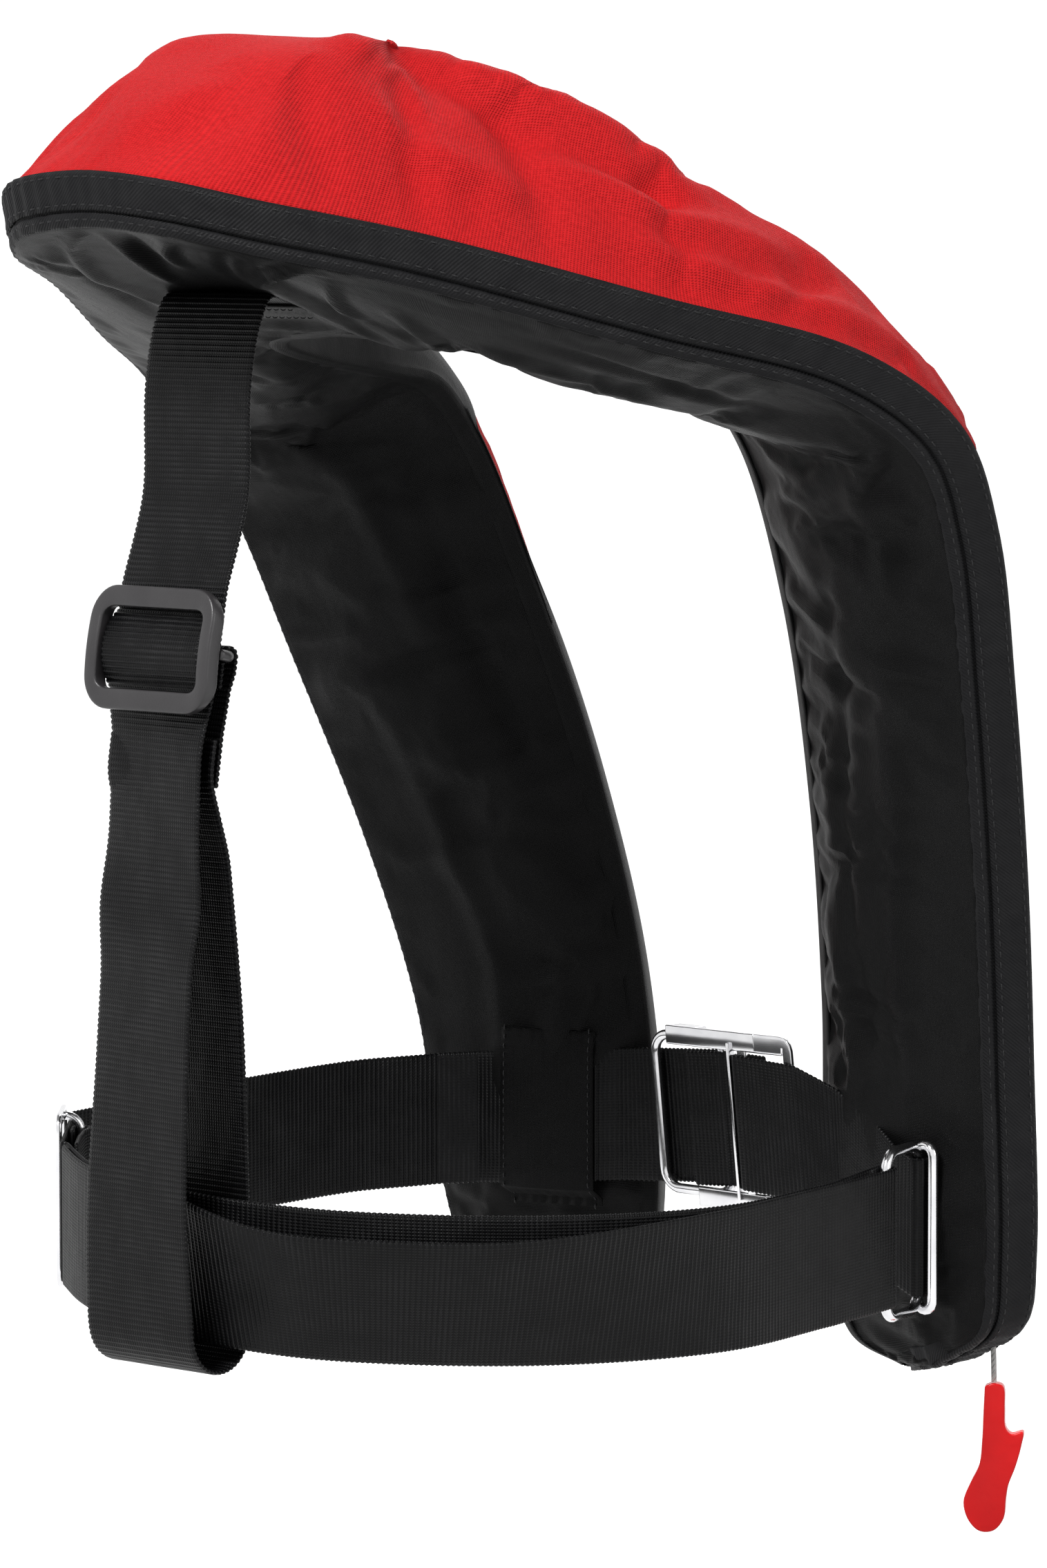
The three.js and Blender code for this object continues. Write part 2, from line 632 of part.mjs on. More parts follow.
// The hook plate: a stamped frame whose two arms reach over and under the buckle ring.
const RING_REACH = RING_INSIDE / 2 + WIRE; // from the middle of a ring to its outside
const PLATE = { thick: 1.8, tall: 2 * RING_REACH + 5, band: 7, middleBar: 4, endBar: 4 };
const plateX = { arms: 19, lowerArm: 9, middle: -15, end: -41 };
const plateY = buckleRing.right.y + 5.6;
const plateShape = new THREE.Shape([
  v2(plateX.end, -PLATE.tall / 2),
  v2(plateX.lowerArm, -PLATE.tall / 2),
  v2(plateX.lowerArm, -PLATE.tall / 2 + PLATE.band),
  v2(plateX.middle, -PLATE.tall / 2 + PLATE.band),
  v2(plateX.middle, PLATE.tall / 2 - PLATE.band),
  v2(plateX.arms, PLATE.tall / 2 - PLATE.band),
  v2(plateX.arms, PLATE.tall / 2),
  v2(plateX.end, PLATE.tall / 2),
]);
const slotWide = plateX.middle - PLATE.middleBar - (plateX.end + PLATE.endBar);
const slot = roundedRect(slotWide, RING_INSIDE, 1.5).getPoints(4).map((p) =>
  v2(p.x + plateX.end + PLATE.endBar + slotWide / 2, p.y),
);
plateShape.holes.push(new THREE.Path(slot));
const upEnd = new THREE.Matrix4().makeBasis(
  new THREE.Vector3(1, 0, 0),
  new THREE.Vector3(0, 0, 1),
  new THREE.Vector3(0, -1, 0),
);
const hookDeep = 9;
const hook = (from, to, side) =>
  box(to - from, hookDeep, PLATE.thick).translate(
    (from + to) / 2,
    -hookDeep / 2 + PLATE.thick / 2,
    side * (RING_REACH + GAP + 0.2 + PLATE.thick / 2),
  );
const plate = join(
  middle(extrude(plateShape, PLATE.thick), PLATE.thick).applyMatrix4(upEnd),
  hook(6, plateX.arms, 1),
  hook(-2, plateX.lowerArm, -1),
).translate(0, plateY, buckleHeight);
place("buckle_hook_plate", plate, metal(STEEL, 0.3));

// The short strap from the plate's middle bar to the ring on the right lobe.
const barHalf = PLATE.thick / 2 + GAP + WEB_THICK / 2;
const barCentre = v2(plateX.middle - PLATE.middleBar / 2, plateY);
const barWrap = Math.hypot(PLATE.middleBar / 2, PLATE.thick / 2) + GAP + WEB_THICK / 2;
const frontHeight = (x) => {
  const share = THREE.MathUtils.clamp((plateX.end - x) / (plateX.end - lobeRing.held.x), 0, 1);
  return THREE.MathUtils.lerp(buckleHeight, ringHeight, share);
};
place(
  "front_strap",
  beltWeb(
    [
      v2(barCentre.x - 9, barCentre.y - barHalf - 0.2),
      ...arc(barCentre, barWrap, 1.5 * Math.PI, 2.5 * Math.PI),
      v2(plateX.end - 3, barCentre.y + barWrap),
      ...[-60, -72, -84].map((x) => overLobe(x, frontHeight(x), 0.4)),
      v2(lobeRing.held.x + 8, lobeRing.held.y + WRAP - 0.4),
      ...arc(lobeRing.held, WRAP, Math.PI / 2, 1.5 * Math.PI),
      v2(lobeRing.held.x + 12, lobeRing.held.y - WRAP),
    ],
    frontHeight,
  ),
  soft(BLACK_WEB),
);

// ---------------------------------------------------------------- inflator, inside the right lobe

// A frame on a lobe: x towards the wearer's right, y out of the lobe, z up along it.
function lobeFrame(place, span, t) {
  const low = section(place + Math.sign(place) * span);
  const high = section(place - Math.sign(place) * span);
  const here = section(place);
  const up = high.outer.clone().add(high.inner).sub(low.outer).sub(low.inner).normalize();
  const right = here.across.clone().multiplyScalar(-Math.sign(place));
  right.addScaledVector(up, -right.dot(up)).normalize();
  const out = up.clone().cross(right);
  const group = new THREE.Group();
  group.position.copy(here.outer).lerp(here.inner, t);
  group.setRotationFromMatrix(new THREE.Matrix4().makeBasis(right, out, up));
  jacket.add(group);
  return group;
}

const INFLATOR_PLACE = 9.9; // middle of the cylinder and body along the right lobe
const INFLATOR_DROP = 56; // the body hangs this far below that place
const inflator = lobeFrame(INFLATOR_PLACE, 1, 0.47);
inflator.translateZ(-INFLATOR_DROP);
const FLANGE = 1.5;
const flangeY = BLADDER_TOP - 1.2;
const bodyY = flangeY + FLANGE + GAP + INFLATOR.deep / 2;
const PIN_TRAVEL = 4.7;
const NECK = { radius: 5, long: 9 };
const LEVER = { pivotX: 6, pivotZ: -12, reach: 30, thick: 4, nose: 2, rise: 6, eye: 28, pin: 1.5 };
const bodyTop = INFLATOR.tall / 2;
const neckFloor = bodyTop - NECK.long - GAP;
const pinTop = neckFloor - PIN_TRAVEL - 0.2;
const noseTop = LEVER.pivotZ + LEVER.nose;
const pinFoot = noseTop + 0.5;
const PIN = { head: 4.2, headTall: 2, shaft: 1.4 };
const CHAMBER = { radius: PIN.head + 0.4, roof: 6 };

const bodyBlock = alongZ(
  middle(extrude(roundedRect(INFLATOR.wide, INFLATOR.deep, 6), INFLATOR.tall), INFLATOR.tall).rotateX(Math.PI / 2),
).translate(0, bodyY, 0);
const hole = (radius, from, to, x = 0) =>
  alongZ(rod(radius, to - from, 24)).translate(x, bodyY, (from + to) / 2);
const slotTop = noseTop + LEVER.rise;
const slotLow = -bodyTop - 1;
const leverSlot = box(LEVER.reach, LEVER.thick + 1, slotTop - slotLow).translate(
  LEVER.pivotX - LEVER.nose - 8 + LEVER.reach / 2,
  bodyY,
  (slotTop + slotLow) / 2,
);
const STEM = { x: -11.5, z: 12, radius: 2.5 };
const acrossBody = (radius, length, x, z, y = bodyY) => rod(radius, length, 20).translate(x, y, z);
place(
  "inflator_body",
  cut(
    bodyBlock,
    hole(NECK.radius + GAP, neckFloor, bodyTop + 1),
    hole(PIN.shaft + GAP, CHAMBER.roof - 1, neckFloor + 1),
    hole(CHAMBER.radius, pinFoot - 1.5, CHAMBER.roof),
    leverSlot,
    acrossBody(LEVER.pin + GAP, INFLATOR.deep + 2, LEVER.pivotX, LEVER.pivotZ),
    acrossBody(STEM.radius + GAP, INFLATOR.deep + 2, STEM.x, STEM.z),
  ),
  soft(0x1d1d1f, 0.5),
  inflator,
);
place(
  "lever_pivot_pin",
  acrossBody(LEVER.pin, INFLATOR.deep, LEVER.pivotX, LEVER.pivotZ),
  metal(STEEL, 0.3),
  inflator,
);

const leverShape = new THREE.Shape();
leverShape.absarc(0, LEVER.pivotZ, LEVER.nose, Math.PI / 2, 1.5 * Math.PI);
leverShape.lineTo(LEVER.pivotX, LEVER.pivotZ - 5);
leverShape.lineTo(LEVER.reach, LEVER.pivotZ - 3);
leverShape.lineTo(LEVER.reach, LEVER.pivotZ + 2);
leverShape.lineTo(LEVER.pivotX + 2, LEVER.pivotZ + LEVER.nose);
const leverEye = LEVER.pin + GAP + 0.5;
const eyelet = places(0, -2 * Math.PI, 12).slice(0, -1).map((a) =>
  v2(LEVER.pivotX + leverEye * Math.cos(a), LEVER.pivotZ - 0.5 + leverEye * Math.sin(a)),
);
leverShape.holes.push(new THREE.Path(eyelet));
place(
  "firing_lever",
  middle(extrude(leverShape, LEVER.thick), LEVER.thick).rotateX(Math.PI / 2).translate(0, bodyY, 0),
  soft(0xb8bcc0, 0.4),
  inflator,
);

const turned = (profile, sides = 20) => alongZ(new THREE.LatheGeometry(profile.map(([r, z]) => v2(r, z)), sides));
place(
  "firing_pin",
  turned([
    [0, pinFoot],
    [PIN.head, pinFoot],
    [PIN.head, pinFoot + PIN.headTall],
    [PIN.shaft, pinFoot + PIN.headTall],
    [PIN.shaft, pinTop - 2],
    [0, pinTop],
  ]).translate(0, bodyY, 0),
  metal(0xb8a35a, 0.3),
  inflator,
);

class Coil extends THREE.Curve {
  constructor(radius, from, to, turns) {
    super();
    Object.assign(this, { radius, from, to, turns });
  }
  getPoint(u, target = new THREE.Vector3()) {
    const a = 2 * Math.PI * this.turns * u;
    return target.set(
      this.radius * Math.cos(a),
      this.radius * Math.sin(a),
      this.from + (this.to - this.from) * u,
    );
  }
}
const springLow = pinFoot + PIN.headTall + GAP + 0.4;
const springHigh = CHAMBER.roof - GAP - 0.4;
const roundWire = (radius, sides) =>
  new THREE.Shape(places(0, 2 * Math.PI, sides).slice(0, -1).map((a) => v2(radius * Math.cos(a), radius * Math.sin(a))));
const SPRING_WIRE = 0.4;
place(
  "pin_spring",
  new THREE.ExtrudeGeometry(roundWire(SPRING_WIRE, 6), {
    extrudePath: new Coil(3, springLow, springHigh, 4),
    steps: 48,
    bevelEnabled: false,
  }).translate(0, bodyY, 0),
  metal(STEEL, 0.3),
  inflator,
);

const cylinderFoot = neckFloor + GAP;
const shoulder = bodyTop + 2;
const crownZ = shoulder + CYLINDER_LENGTH;
place(
  "gas_cylinder",
  turned([
    [0, cylinderFoot],
    [NECK.radius, cylinderFoot],
    [NECK.radius, shoulder],
    [CYLINDER_RADIUS * 0.75, shoulder + 6],
    [CYLINDER_RADIUS, shoulder + 14],
    [CYLINDER_RADIUS, crownZ - 10],
    [CYLINDER_RADIUS * 0.8, crownZ - 3],
    [CYLINDER_RADIUS * 0.4, crownZ],
    [0, crownZ],
  ]).translate(0, bodyY, 0),
  metal(0xa9acb0, 0.35),
  inflator,
);

place(
  "bladder_manifold",
  join(
    rod(15, FLANGE, 24).translate(STEM.x, flangeY + FLANGE / 2, STEM.z),
    acrossBody(STEM.radius, INFLATOR.deep + 4, STEM.x, STEM.z, flangeY + FLANGE + (INFLATOR.deep + 4) / 2 - 0.5),
  ),
  soft(0x222326, 0.5),
  inflator,
);
const NUT = { radius: 5.5, thick: 3 };
place(
  "manifold_nut",
  cut(
    rod(NUT.radius, NUT.thick, 6),
    rod(STEM.radius + GAP, NUT.thick + 2),
  ).translate(STEM.x, bodyY + INFLATOR.deep / 2 + GAP + NUT.thick / 2, STEM.z),
  soft(0x2e3033, 0.5),
  inflator,
);

const CARTRIDGE = { radius: 7.5, long: 12, z: 2 };
const cartridgeX = -INFLATOR.wide / 2 - GAP;
place(
  "water_cartridge",
  alongX(rod(CARTRIDGE.radius, CARTRIDGE.long)).translate(cartridgeX - CARTRIDGE.long / 2, bodyY, CARTRIDGE.z),
  soft(0xe3e0d2, 0.6),
  inflator,
);
const CAP = { wall: 1.5, long: 13 };
place(
  "cartridge_cap",
  cut(
    alongX(rod(CARTRIDGE.radius + GAP + CAP.wall, CAP.long)),
    alongX(rod(CARTRIDGE.radius + GAP, CAP.long)).translate(CAP.wall, 0, 0),
  ).translate(cartridgeX - CAP.long / 2 - 2, bodyY, CARTRIDGE.z),
  soft(0x2a6b3a, 0.5),
  inflator,
);
const CLIP = { wide: 8, thick: 2.2, tall: 12 };
place(
  "status_clip",
  box(CLIP.wide, CLIP.thick, CLIP.tall).translate(4, bodyY + INFLATOR.deep / 2 + GAP + CLIP.thick / 2, -14),
  soft(0x2fae4a, 0.5),
  inflator,
);

// ---------------------------------------------------------------- pull cord and tab

inflator.updateMatrixWorld(true);
const cordTop = new THREE.Vector3(LEVER.eye, bodyY, LEVER.pivotZ - 3 - GAP - 0.2);
cordTop.applyMatrix4(inflator.matrixWorld);
const cordFoot = new THREE.Vector3(-118, -219, -354 - CORD_DROP);
const cordRoute = new THREE.CatmullRomCurve3([
  cordTop,
  new THREE.Vector3(cordTop.x, cordTop.y, cordTop.z - 5),
  new THREE.Vector3(-118.5, -218, -346),
  cordFoot,
]);
place(
  "pull_cord",
  new THREE.ExtrudeGeometry(roundWire(CORD / 2, 8), { extrudePath: cordRoute, steps: 14, bevelEnabled: false }),
  soft(0xe9e9e6, 0.7),
);

// The tab is a flat moulding: a stem, a finger barb on the front edge and a round foot.
const tabShape = new THREE.Shape();
tabShape.moveTo(-3.4, -1);
tabShape.quadraticCurveTo(-3, 0, 0, 0);
tabShape.quadraticCurveTo(3, 0, 3.6, -1);
tabShape.lineTo(4.2, -17);
tabShape.lineTo(9.5, -18.5);
tabShape.quadraticCurveTo(10.5, -24, 8, -30);
tabShape.quadraticCurveTo(6, -36, 4.5, -41);
tabShape.quadraticCurveTo(4.5, -50, 0.5, -TAB.tall);
tabShape.quadraticCurveTo(-6, -TAB.tall - 0.5, -9, -49);
tabShape.quadraticCurveTo(-12.5, -41, -7.5, -35);
tabShape.quadraticCurveTo(-4.5, -30, -4, -22);
const tabGroup = new THREE.Group();
tabGroup.position.copy(cordFoot).add(new THREE.Vector3(0, 0, -GAP));
tabGroup.rotation.z = THREE.MathUtils.degToRad(TAB.turned);
jacket.add(tabGroup);
const tab = middle(extrude(tabShape, TAB.thick), TAB.thick).rotateX(Math.PI / 2);
place("pull_tab", tab, soft(0xe01b22, 0.25), tabGroup);

// ---------------------------------------------------------------- oral tube and whistle, inside the left lobe

const oral = lobeFrame(-9.2, 0.9, 0.5);
const tubeY = BLADDER_TOP + 3 + TUBE_RADIUS;
const BORE = TUBE_RADIUS - 1.5;
place(
  "oral_tube",
  cut(
    join(
      alongZ(rod(TUBE_RADIUS, TUBE_LENGTH)).translate(0, tubeY, 0),
      rod(12, 1.6, 24).translate(0, BLADDER_TOP + 1.4, -TUBE_LENGTH / 2 - 2),
      box(9, 7, 14).translate(0, BLADDER_TOP + 5.2, -TUBE_LENGTH / 2 - 3),
    ),
    alongZ(rod(BORE, 30)).translate(0, tubeY, TUBE_LENGTH / 2),
  ),
  soft(0x1b1b1d, 0.6),
  oral,
);
const tubeEnd = TUBE_LENGTH / 2;
const VALVE = { radius: BORE - GAP, long: 12, proud: 3 };
place(
  "oral_valve",
  alongZ(rod(VALVE.radius, VALVE.long)).translate(0, tubeY, tubeEnd + VALVE.proud - VALVE.long / 2),
  soft(0xd8d8d4, 0.5),
  oral,
);
const ORAL_CAP = { wall: 1.2, long: 16, over: 9 };
place(
  "oral_cap",
  cut(
    alongZ(rod(TUBE_RADIUS + GAP + ORAL_CAP.wall, ORAL_CAP.long)),
    alongZ(rod(TUBE_RADIUS + GAP, ORAL_CAP.long)).translate(0, 0, -ORAL_CAP.wall),
  ).translate(0, tubeY, tubeEnd - ORAL_CAP.over + ORAL_CAP.long / 2),
  soft(0xc22a20, 0.5),
  oral,
);
const WHISTLE = { long: 42, wide: 15, thick: 8, ring: 2 };
const whistleX = TUBE_RADIUS + GAP + WHISTLE.ring - 1 + WHISTLE.wide / 2;
place(
  "whistle",
  cut(
    join(
      box(WHISTLE.wide, WHISTLE.thick, WHISTLE.long).translate(whistleX, tubeY, 0),
      alongZ(rod(TUBE_RADIUS + GAP + WHISTLE.ring, 5, 24)).translate(0, tubeY + 0.01, 14),
    ),
    alongZ(rod(TUBE_RADIUS + GAP, 20, 24)).translate(0, tubeY, 14),
    box(WHISTLE.wide - 4, WHISTLE.thick - 3, 26).translate(whistleX, tubeY, -WHISTLE.long / 2),
    box(WHISTLE.wide - 5, WHISTLE.thick, 4).translate(whistleX, tubeY + WHISTLE.thick / 2, -WHISTLE.long / 2 + 9),
  ),
  soft(0xe0602a, 0.5),
  oral,
);

export default jacket;
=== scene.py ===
import math

import bmesh
import bpy
import numpy as np
from mathutils import Matrix, Vector


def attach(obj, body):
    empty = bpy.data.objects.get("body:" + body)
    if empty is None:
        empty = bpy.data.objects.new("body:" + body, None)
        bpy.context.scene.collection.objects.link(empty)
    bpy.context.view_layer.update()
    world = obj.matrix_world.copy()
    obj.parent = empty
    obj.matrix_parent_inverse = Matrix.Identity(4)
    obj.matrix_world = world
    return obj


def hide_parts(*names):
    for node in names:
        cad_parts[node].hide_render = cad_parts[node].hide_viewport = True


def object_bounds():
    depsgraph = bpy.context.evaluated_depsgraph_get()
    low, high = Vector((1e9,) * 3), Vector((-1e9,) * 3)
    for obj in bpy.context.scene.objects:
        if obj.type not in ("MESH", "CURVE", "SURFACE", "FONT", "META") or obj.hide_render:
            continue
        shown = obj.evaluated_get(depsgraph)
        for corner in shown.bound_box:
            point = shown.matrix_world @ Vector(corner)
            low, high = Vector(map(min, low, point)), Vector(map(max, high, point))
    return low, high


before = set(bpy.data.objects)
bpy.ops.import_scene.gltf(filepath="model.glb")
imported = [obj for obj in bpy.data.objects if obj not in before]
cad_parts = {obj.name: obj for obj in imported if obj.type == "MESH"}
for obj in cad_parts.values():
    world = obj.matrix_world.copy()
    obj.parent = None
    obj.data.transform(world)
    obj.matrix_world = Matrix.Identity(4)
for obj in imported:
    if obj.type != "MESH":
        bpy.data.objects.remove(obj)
cad_box = [list(corner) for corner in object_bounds()]
scene = bpy.context.scene
scene.view_settings.view_transform = "Standard"
MM = 0.001

# ---------------------------------------------------------------- camera
# A long lens on a stand behind the jacket's right shoulder, a little above the middle
# of the jacket, so that the collar, the inside of both lobes and the belt all show.
AIM = Vector((0, -0.098, -0.158))
TOWARDS_CAMERA = Vector((-0.6666, 0.7403, 0.0872)).normalized()
CAMERA_STANDS, LENS = 2.5, 162  # metres from what it aims at, and millimetres
camera_data = bpy.data.cameras.new("studio_camera")
camera_data.lens = LENS
camera_data.clip_end = 60
camera = bpy.data.objects.new("studio_camera", camera_data)
camera.location = AIM + TOWARDS_CAMERA * CAMERA_STANDS
camera.rotation_euler = (-TOWARDS_CAMERA).to_track_quat("-Z", "Y").to_euler()
scene.collection.objects.link(camera)
scene.camera = camera


# ---------------------------------------------------------------- pull cord
# Braided white polyester cord, 2 mm thick, tied to the firing lever inside the right lobe.
# It comes out at the bottom of the lobe and ends in the moulded red tab.
def unit(vectors):
    vectors = np.asarray(vectors, float)
    return vectors / np.maximum(np.linalg.norm(vectors, axis=-1, keepdims=True), 1e-9)


def through(points, share):
    """Points on the smooth line through the given points, at shares of the way from first to last."""
    p = np.asarray(points, float)
    spans = len(p) - 1
    x = np.clip(np.asarray(share, float), 0, 1) * spans
    i = np.minimum(x.astype(int), spans - 1)
    w = (x - i)[:, None]
    ends = np.vstack([2 * p[0] - p[1], p, 2 * p[-1] - p[-2]])
    a, b, c, d = (ends[i + k] for k in range(4))

    def knot(m, q):
        return np.maximum(np.sqrt(np.linalg.norm(q - m, axis=1)), 1e-4)[:, None]

    ab, bc, cd = knot(a, b), knot(b, c), knot(c, d)
    leave = ((b - a) / ab - (c - a) / (ab + bc) + (c - b) / bc) * bc
    arrive = ((c - b) / bc - (d - b) / (bc + cd) + (d - c) / cd) * bc
    return b + leave * w + (3 * c - 3 * b - 2 * leave - arrive) * w**2 + (2 * b - 2 * c + leave + arrive) * w**3


def evenly(points, step):
    """The same line with points a fixed step apart."""
    p = np.asarray(points, float)
    run = np.concatenate([[0], np.cumsum(np.linalg.norm(np.diff(p, axis=0), axis=1))])
    count = max(int(round(run[-1] / step)), 2)
    at = np.linspace(0, run[-1], count + 1)
    return np.stack([np.interp(at, run, p[:, k]) for k in range(p.shape[1])], axis=1), at


def surface(name, points, uv=None, loop_rows=False, loop_columns=False, caps=False):
    """A mesh over a grid of points in millimetres: points[row, column]. uv is in metres."""
    rows, columns = points.shape[:2]
    r = np.arange(rows if loop_rows else rows - 1)[:, None]
    c = np.arange(columns if loop_columns else columns - 1)[None, :]
    r2, c2 = (r + 1) % rows, (c + 1) % columns
    quads = np.stack([r * columns + c, r2 * columns + c, r2 * columns + c2, r * columns + c2], axis=-1).reshape(-1, 4)
    faces = [tuple(q) for q in quads.tolist()]
    if caps:
        faces.append(tuple(range(columns)))
        faces.append(tuple(reversed(range((rows - 1) * columns, rows * columns))))
    mesh = bpy.data.meshes.new(name)
    mesh.from_pydata((points.reshape(-1, 3) * MM).tolist(), [], faces)
    if uv is not None:
        flat = np.asarray(uv, float).reshape(-1, 2)
        layer = mesh.uv_layers.new(name="cloth")
        index = np.empty(len(mesh.loops), int)
        mesh.loops.foreach_get("vertex_index", index)
        values = flat[index]
        if loop_columns:
            per_face = values[: len(quads) * 4].reshape(-1, 4, 2)
            last = np.tile((np.arange(quads.shape[0]) % columns == columns - 1)[:, None], (1, 4))
            wide = per_face[..., 1]
            wide[(last) & (np.arange(4)[None, :] >= 2)] = uv[0][-1][1] + (uv[0][-1][1] - uv[0][-2][1])
            values[: len(quads) * 4] = per_face.reshape(-1, 2)
        layer.data.foreach_set("uv", values.astype(np.float32).ravel())
    mesh.shade_smooth()
    mesh.update()
    piece = bpy.data.objects.new(name, mesh)
    scene.collection.objects.link(piece)
    return piece


def finish(name, color, roughness, metallic=0.0, **sockets):
    """A new material with one even finish: each further socket is given by its label."""
    made = bpy.data.materials.new(name)
    made.use_nodes = True
    shader = made.node_tree.nodes["Principled BSDF"]
    shader.inputs["Base Color"].default_value = (*color, 1)
    shader.inputs["Roughness"].default_value = roughness
    shader.inputs["Metallic"].default_value = metallic
    for label, value in sockets.items():
        shader.inputs[label.replace("_", " ")].default_value = value
    return made


def node(made, kind, **inputs):
    """A node of a material; each input is a value or another node's output."""
    new = made.node_tree.nodes.new(kind)
    for label, value in inputs.items():
        socket = new.inputs[int(label[1:]) if label[0] == "_" else label.replace("_", " ")]
        if isinstance(value, bpy.types.NodeSocket):
            made.node_tree.links.new(value, socket)
        else:
            socket.default_value = value
    return new


def mathed(made, operation, a, b):
    """The result of a sum on two outputs of a material's nodes."""
    new = node(made, "ShaderNodeMath", _0=a, _1=b)
    new.operation = operation
    return new.outputs[0]


def place_on(made, kind):
    """Where a point is: "UV" in metres along the cloth, or "Object" in the jacket's frame."""
    return node(made, "ShaderNodeTexCoord").outputs[kind]


def bands(made, where, axis, pitch):
    """Even ridges across one axis, pitch metres apart, from 0 to 1."""
    new = node(made, "ShaderNodeTexWave", Vector=where, Scale=math.pi / 10 / pitch)
    new.bands_direction = axis
    return new.outputs["Fac"]


def noise(made, where, size, detail=2.0):
    """Soft random spots about size metres across."""
    return node(made, "ShaderNodeTexNoise", Vector=where, Scale=1 / size, Detail=detail).outputs["Fac"]


def shade(made, amount, dark, light):
    """Colour between two shades, by an amount from 0 to 1."""
    ramp = node(made, "ShaderNodeValToRGB", Fac=amount)
    ramp.color_ramp.elements[0].color = (*dark, 1)
    ramp.color_ramp.elements[1].color = (*light, 1)
    ramp.color_ramp.elements[0].position = 0.3
    ramp.color_ramp.elements[1].position = 0.7
    made.node_tree.links.new(ramp.outputs["Color"], made.node_tree.nodes["Principled BSDF"].inputs["Base Color"])


def relief(made, *layers):
    """Raised detail: each layer is (height from 0 to 1, depth in metres)."""
    normal = None
    for height, depth in layers:
        bump = node(made, "ShaderNodeBump", Height=height, Distance=depth, Strength=1.0)
        if normal is not None:
            made.node_tree.links.new(normal, bump.inputs["Normal"])
        normal = bump.outputs["Normal"]
    made.node_tree.links.new(normal, made.node_tree.nodes["Principled BSDF"].inputs["Normal"])


def pattern(made, where, kind, *sizes):
    """Soft spots, a weave of two sets of ridges, or ridges across the axis named."""
    if kind == "noise":
        return noise(made, where, *sizes)
    if kind == "weave":
        return mathed(made, "MULTIPLY", bands(made, where, "X", sizes[0]), bands(made, where, "Y", sizes[-1]))
    return bands(made, where, kind, *sizes)


def textured(name, color, roughness, dark, light, spots, *layers, on="Object", metallic=0.0, **sockets):
    """A material whose colour runs between two shades in spots; each layer is (depth in metres, *pattern)."""
    made = finish(name, color, roughness, metallic, **sockets)
    where = place_on(made, on)
    shade(made, pattern(made, where, *spots), dark, light)
    relief(made, *((pattern(made, where, *raised), depth) for depth, *raised in layers))
    return made


def dress(piece, made, body, slot, *nodes):
    """Gives a piece its material and its body, and hides the solids that it stands for. slot is not used."""
    piece.data.materials.clear()
    piece.data.materials.append(made)
    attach(piece, body)
    if nodes:
        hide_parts(*nodes)
    return piece


CORD_THICK, CORD_STEP = 2.0, 1.6
CORD_BENDS = [(-120.513, -221.332, -313.632), (-120.513, -221.332, -318.632), (-118.5, -218, -346), (-118, -219, -374)]
cord_line, cord_run = evenly(through(CORD_BENDS, np.linspace(0, 1, 41)), CORD_STEP)
cord_curve = bpy.data.curves.new("pull_cord_braid", "CURVE")
cord_curve.dimensions = "3D"
cord_curve.bevel_depth = CORD_THICK / 2 * MM
cord_curve.bevel_resolution = 4
cord_curve.use_fill_caps = True
spline = cord_curve.splines.new("POLY")
spline.points.add(len(cord_line) - 1)
for knot_point, at in zip(spline.points, cord_line):
    knot_point.co = (*(at * MM), 1)
cord = bpy.data.objects.new("pull_cord_braid", cord_curve)
scene.collection.objects.link(cord)
white_braid = textured("white_braid", (0.78, 0.77, 0.74), 0.75, (0.66, 0.65, 0.62), (0.86, 0.85, 0.83),
                       ("noise", 0.004), (0.0004, "DIAGONAL", 0.0011), Sheen_Weight=0.2)
dress(cord, white_braid, "pull_handle", "cord", "pull_cord")


# ---------------------------------------------------------------- pull tab
# Glossy red injection moulding: a stem that holds the cord, a barb for
# the fingers on one edge and a round foot. It hangs on the cord below the right lobe.
def rounded(name, outline, thick, bevel, segments=4):
    """A flat moulding with rounded edges: the outline is in x and z, in millimetres."""
    mesh = bpy.data.meshes.new(name)
    work = bmesh.new()
    ring = [work.verts.new((x * MM, -thick / 2 * MM, z * MM)) for x, z in outline]
    face = work.faces.new(ring)
    raised = bmesh.ops.extrude_face_region(work, geom=[face])
    far_side = [v for v in raised["geom"] if isinstance(v, bmesh.types.BMVert)]
    bmesh.ops.translate(work, vec=(0, thick * MM, 0), verts=far_side)
    bmesh.ops.recalc_face_normals(work, faces=work.faces)
    work.to_mesh(mesh)
    work.free()
    piece = bpy.data.objects.new(name, mesh)
    scene.collection.objects.link(piece)
    soften = piece.modifiers.new("rounded_edges", "BEVEL")
    soften.width = bevel * MM
    soften.segments = segments
    soften.limit_method = "ANGLE"
    soften.angle_limit = math.radians(50)
    mesh.shade_smooth()
    return piece


TAB_THICK, TAB_ROUNDING = 6, 2.2
TAB_HANGS, TAB_TURNED = (-0.118, -0.219, -0.3743), math.radians(215)
TAB_OUTLINE = [(-3.2, -1), (0, 0), (3.4, -1), (4, -9), (4.4, -16.0), (6.4, -18.2), (10.6, -17.4), (10.0, -22.5), (8, -30),
               (5.4, -37), (4.6, -42), (3.8, -49), (0.2, -53.4), (-5, -53.6), (-9, -49.5), (-10.6, -43), (-8, -36),
               (-5, -29.5), (-4, -20), (-3.6, -10), (-3.2, -1)]
tab = rounded("pull_tab_moulding", through(TAB_OUTLINE, np.linspace(0, 1, 96))[:-1], TAB_THICK, TAB_ROUNDING, 5)
tab.matrix_world = Matrix.Translation(TAB_HANGS) @ Matrix.Rotation(TAB_TURNED, 4, "Z")
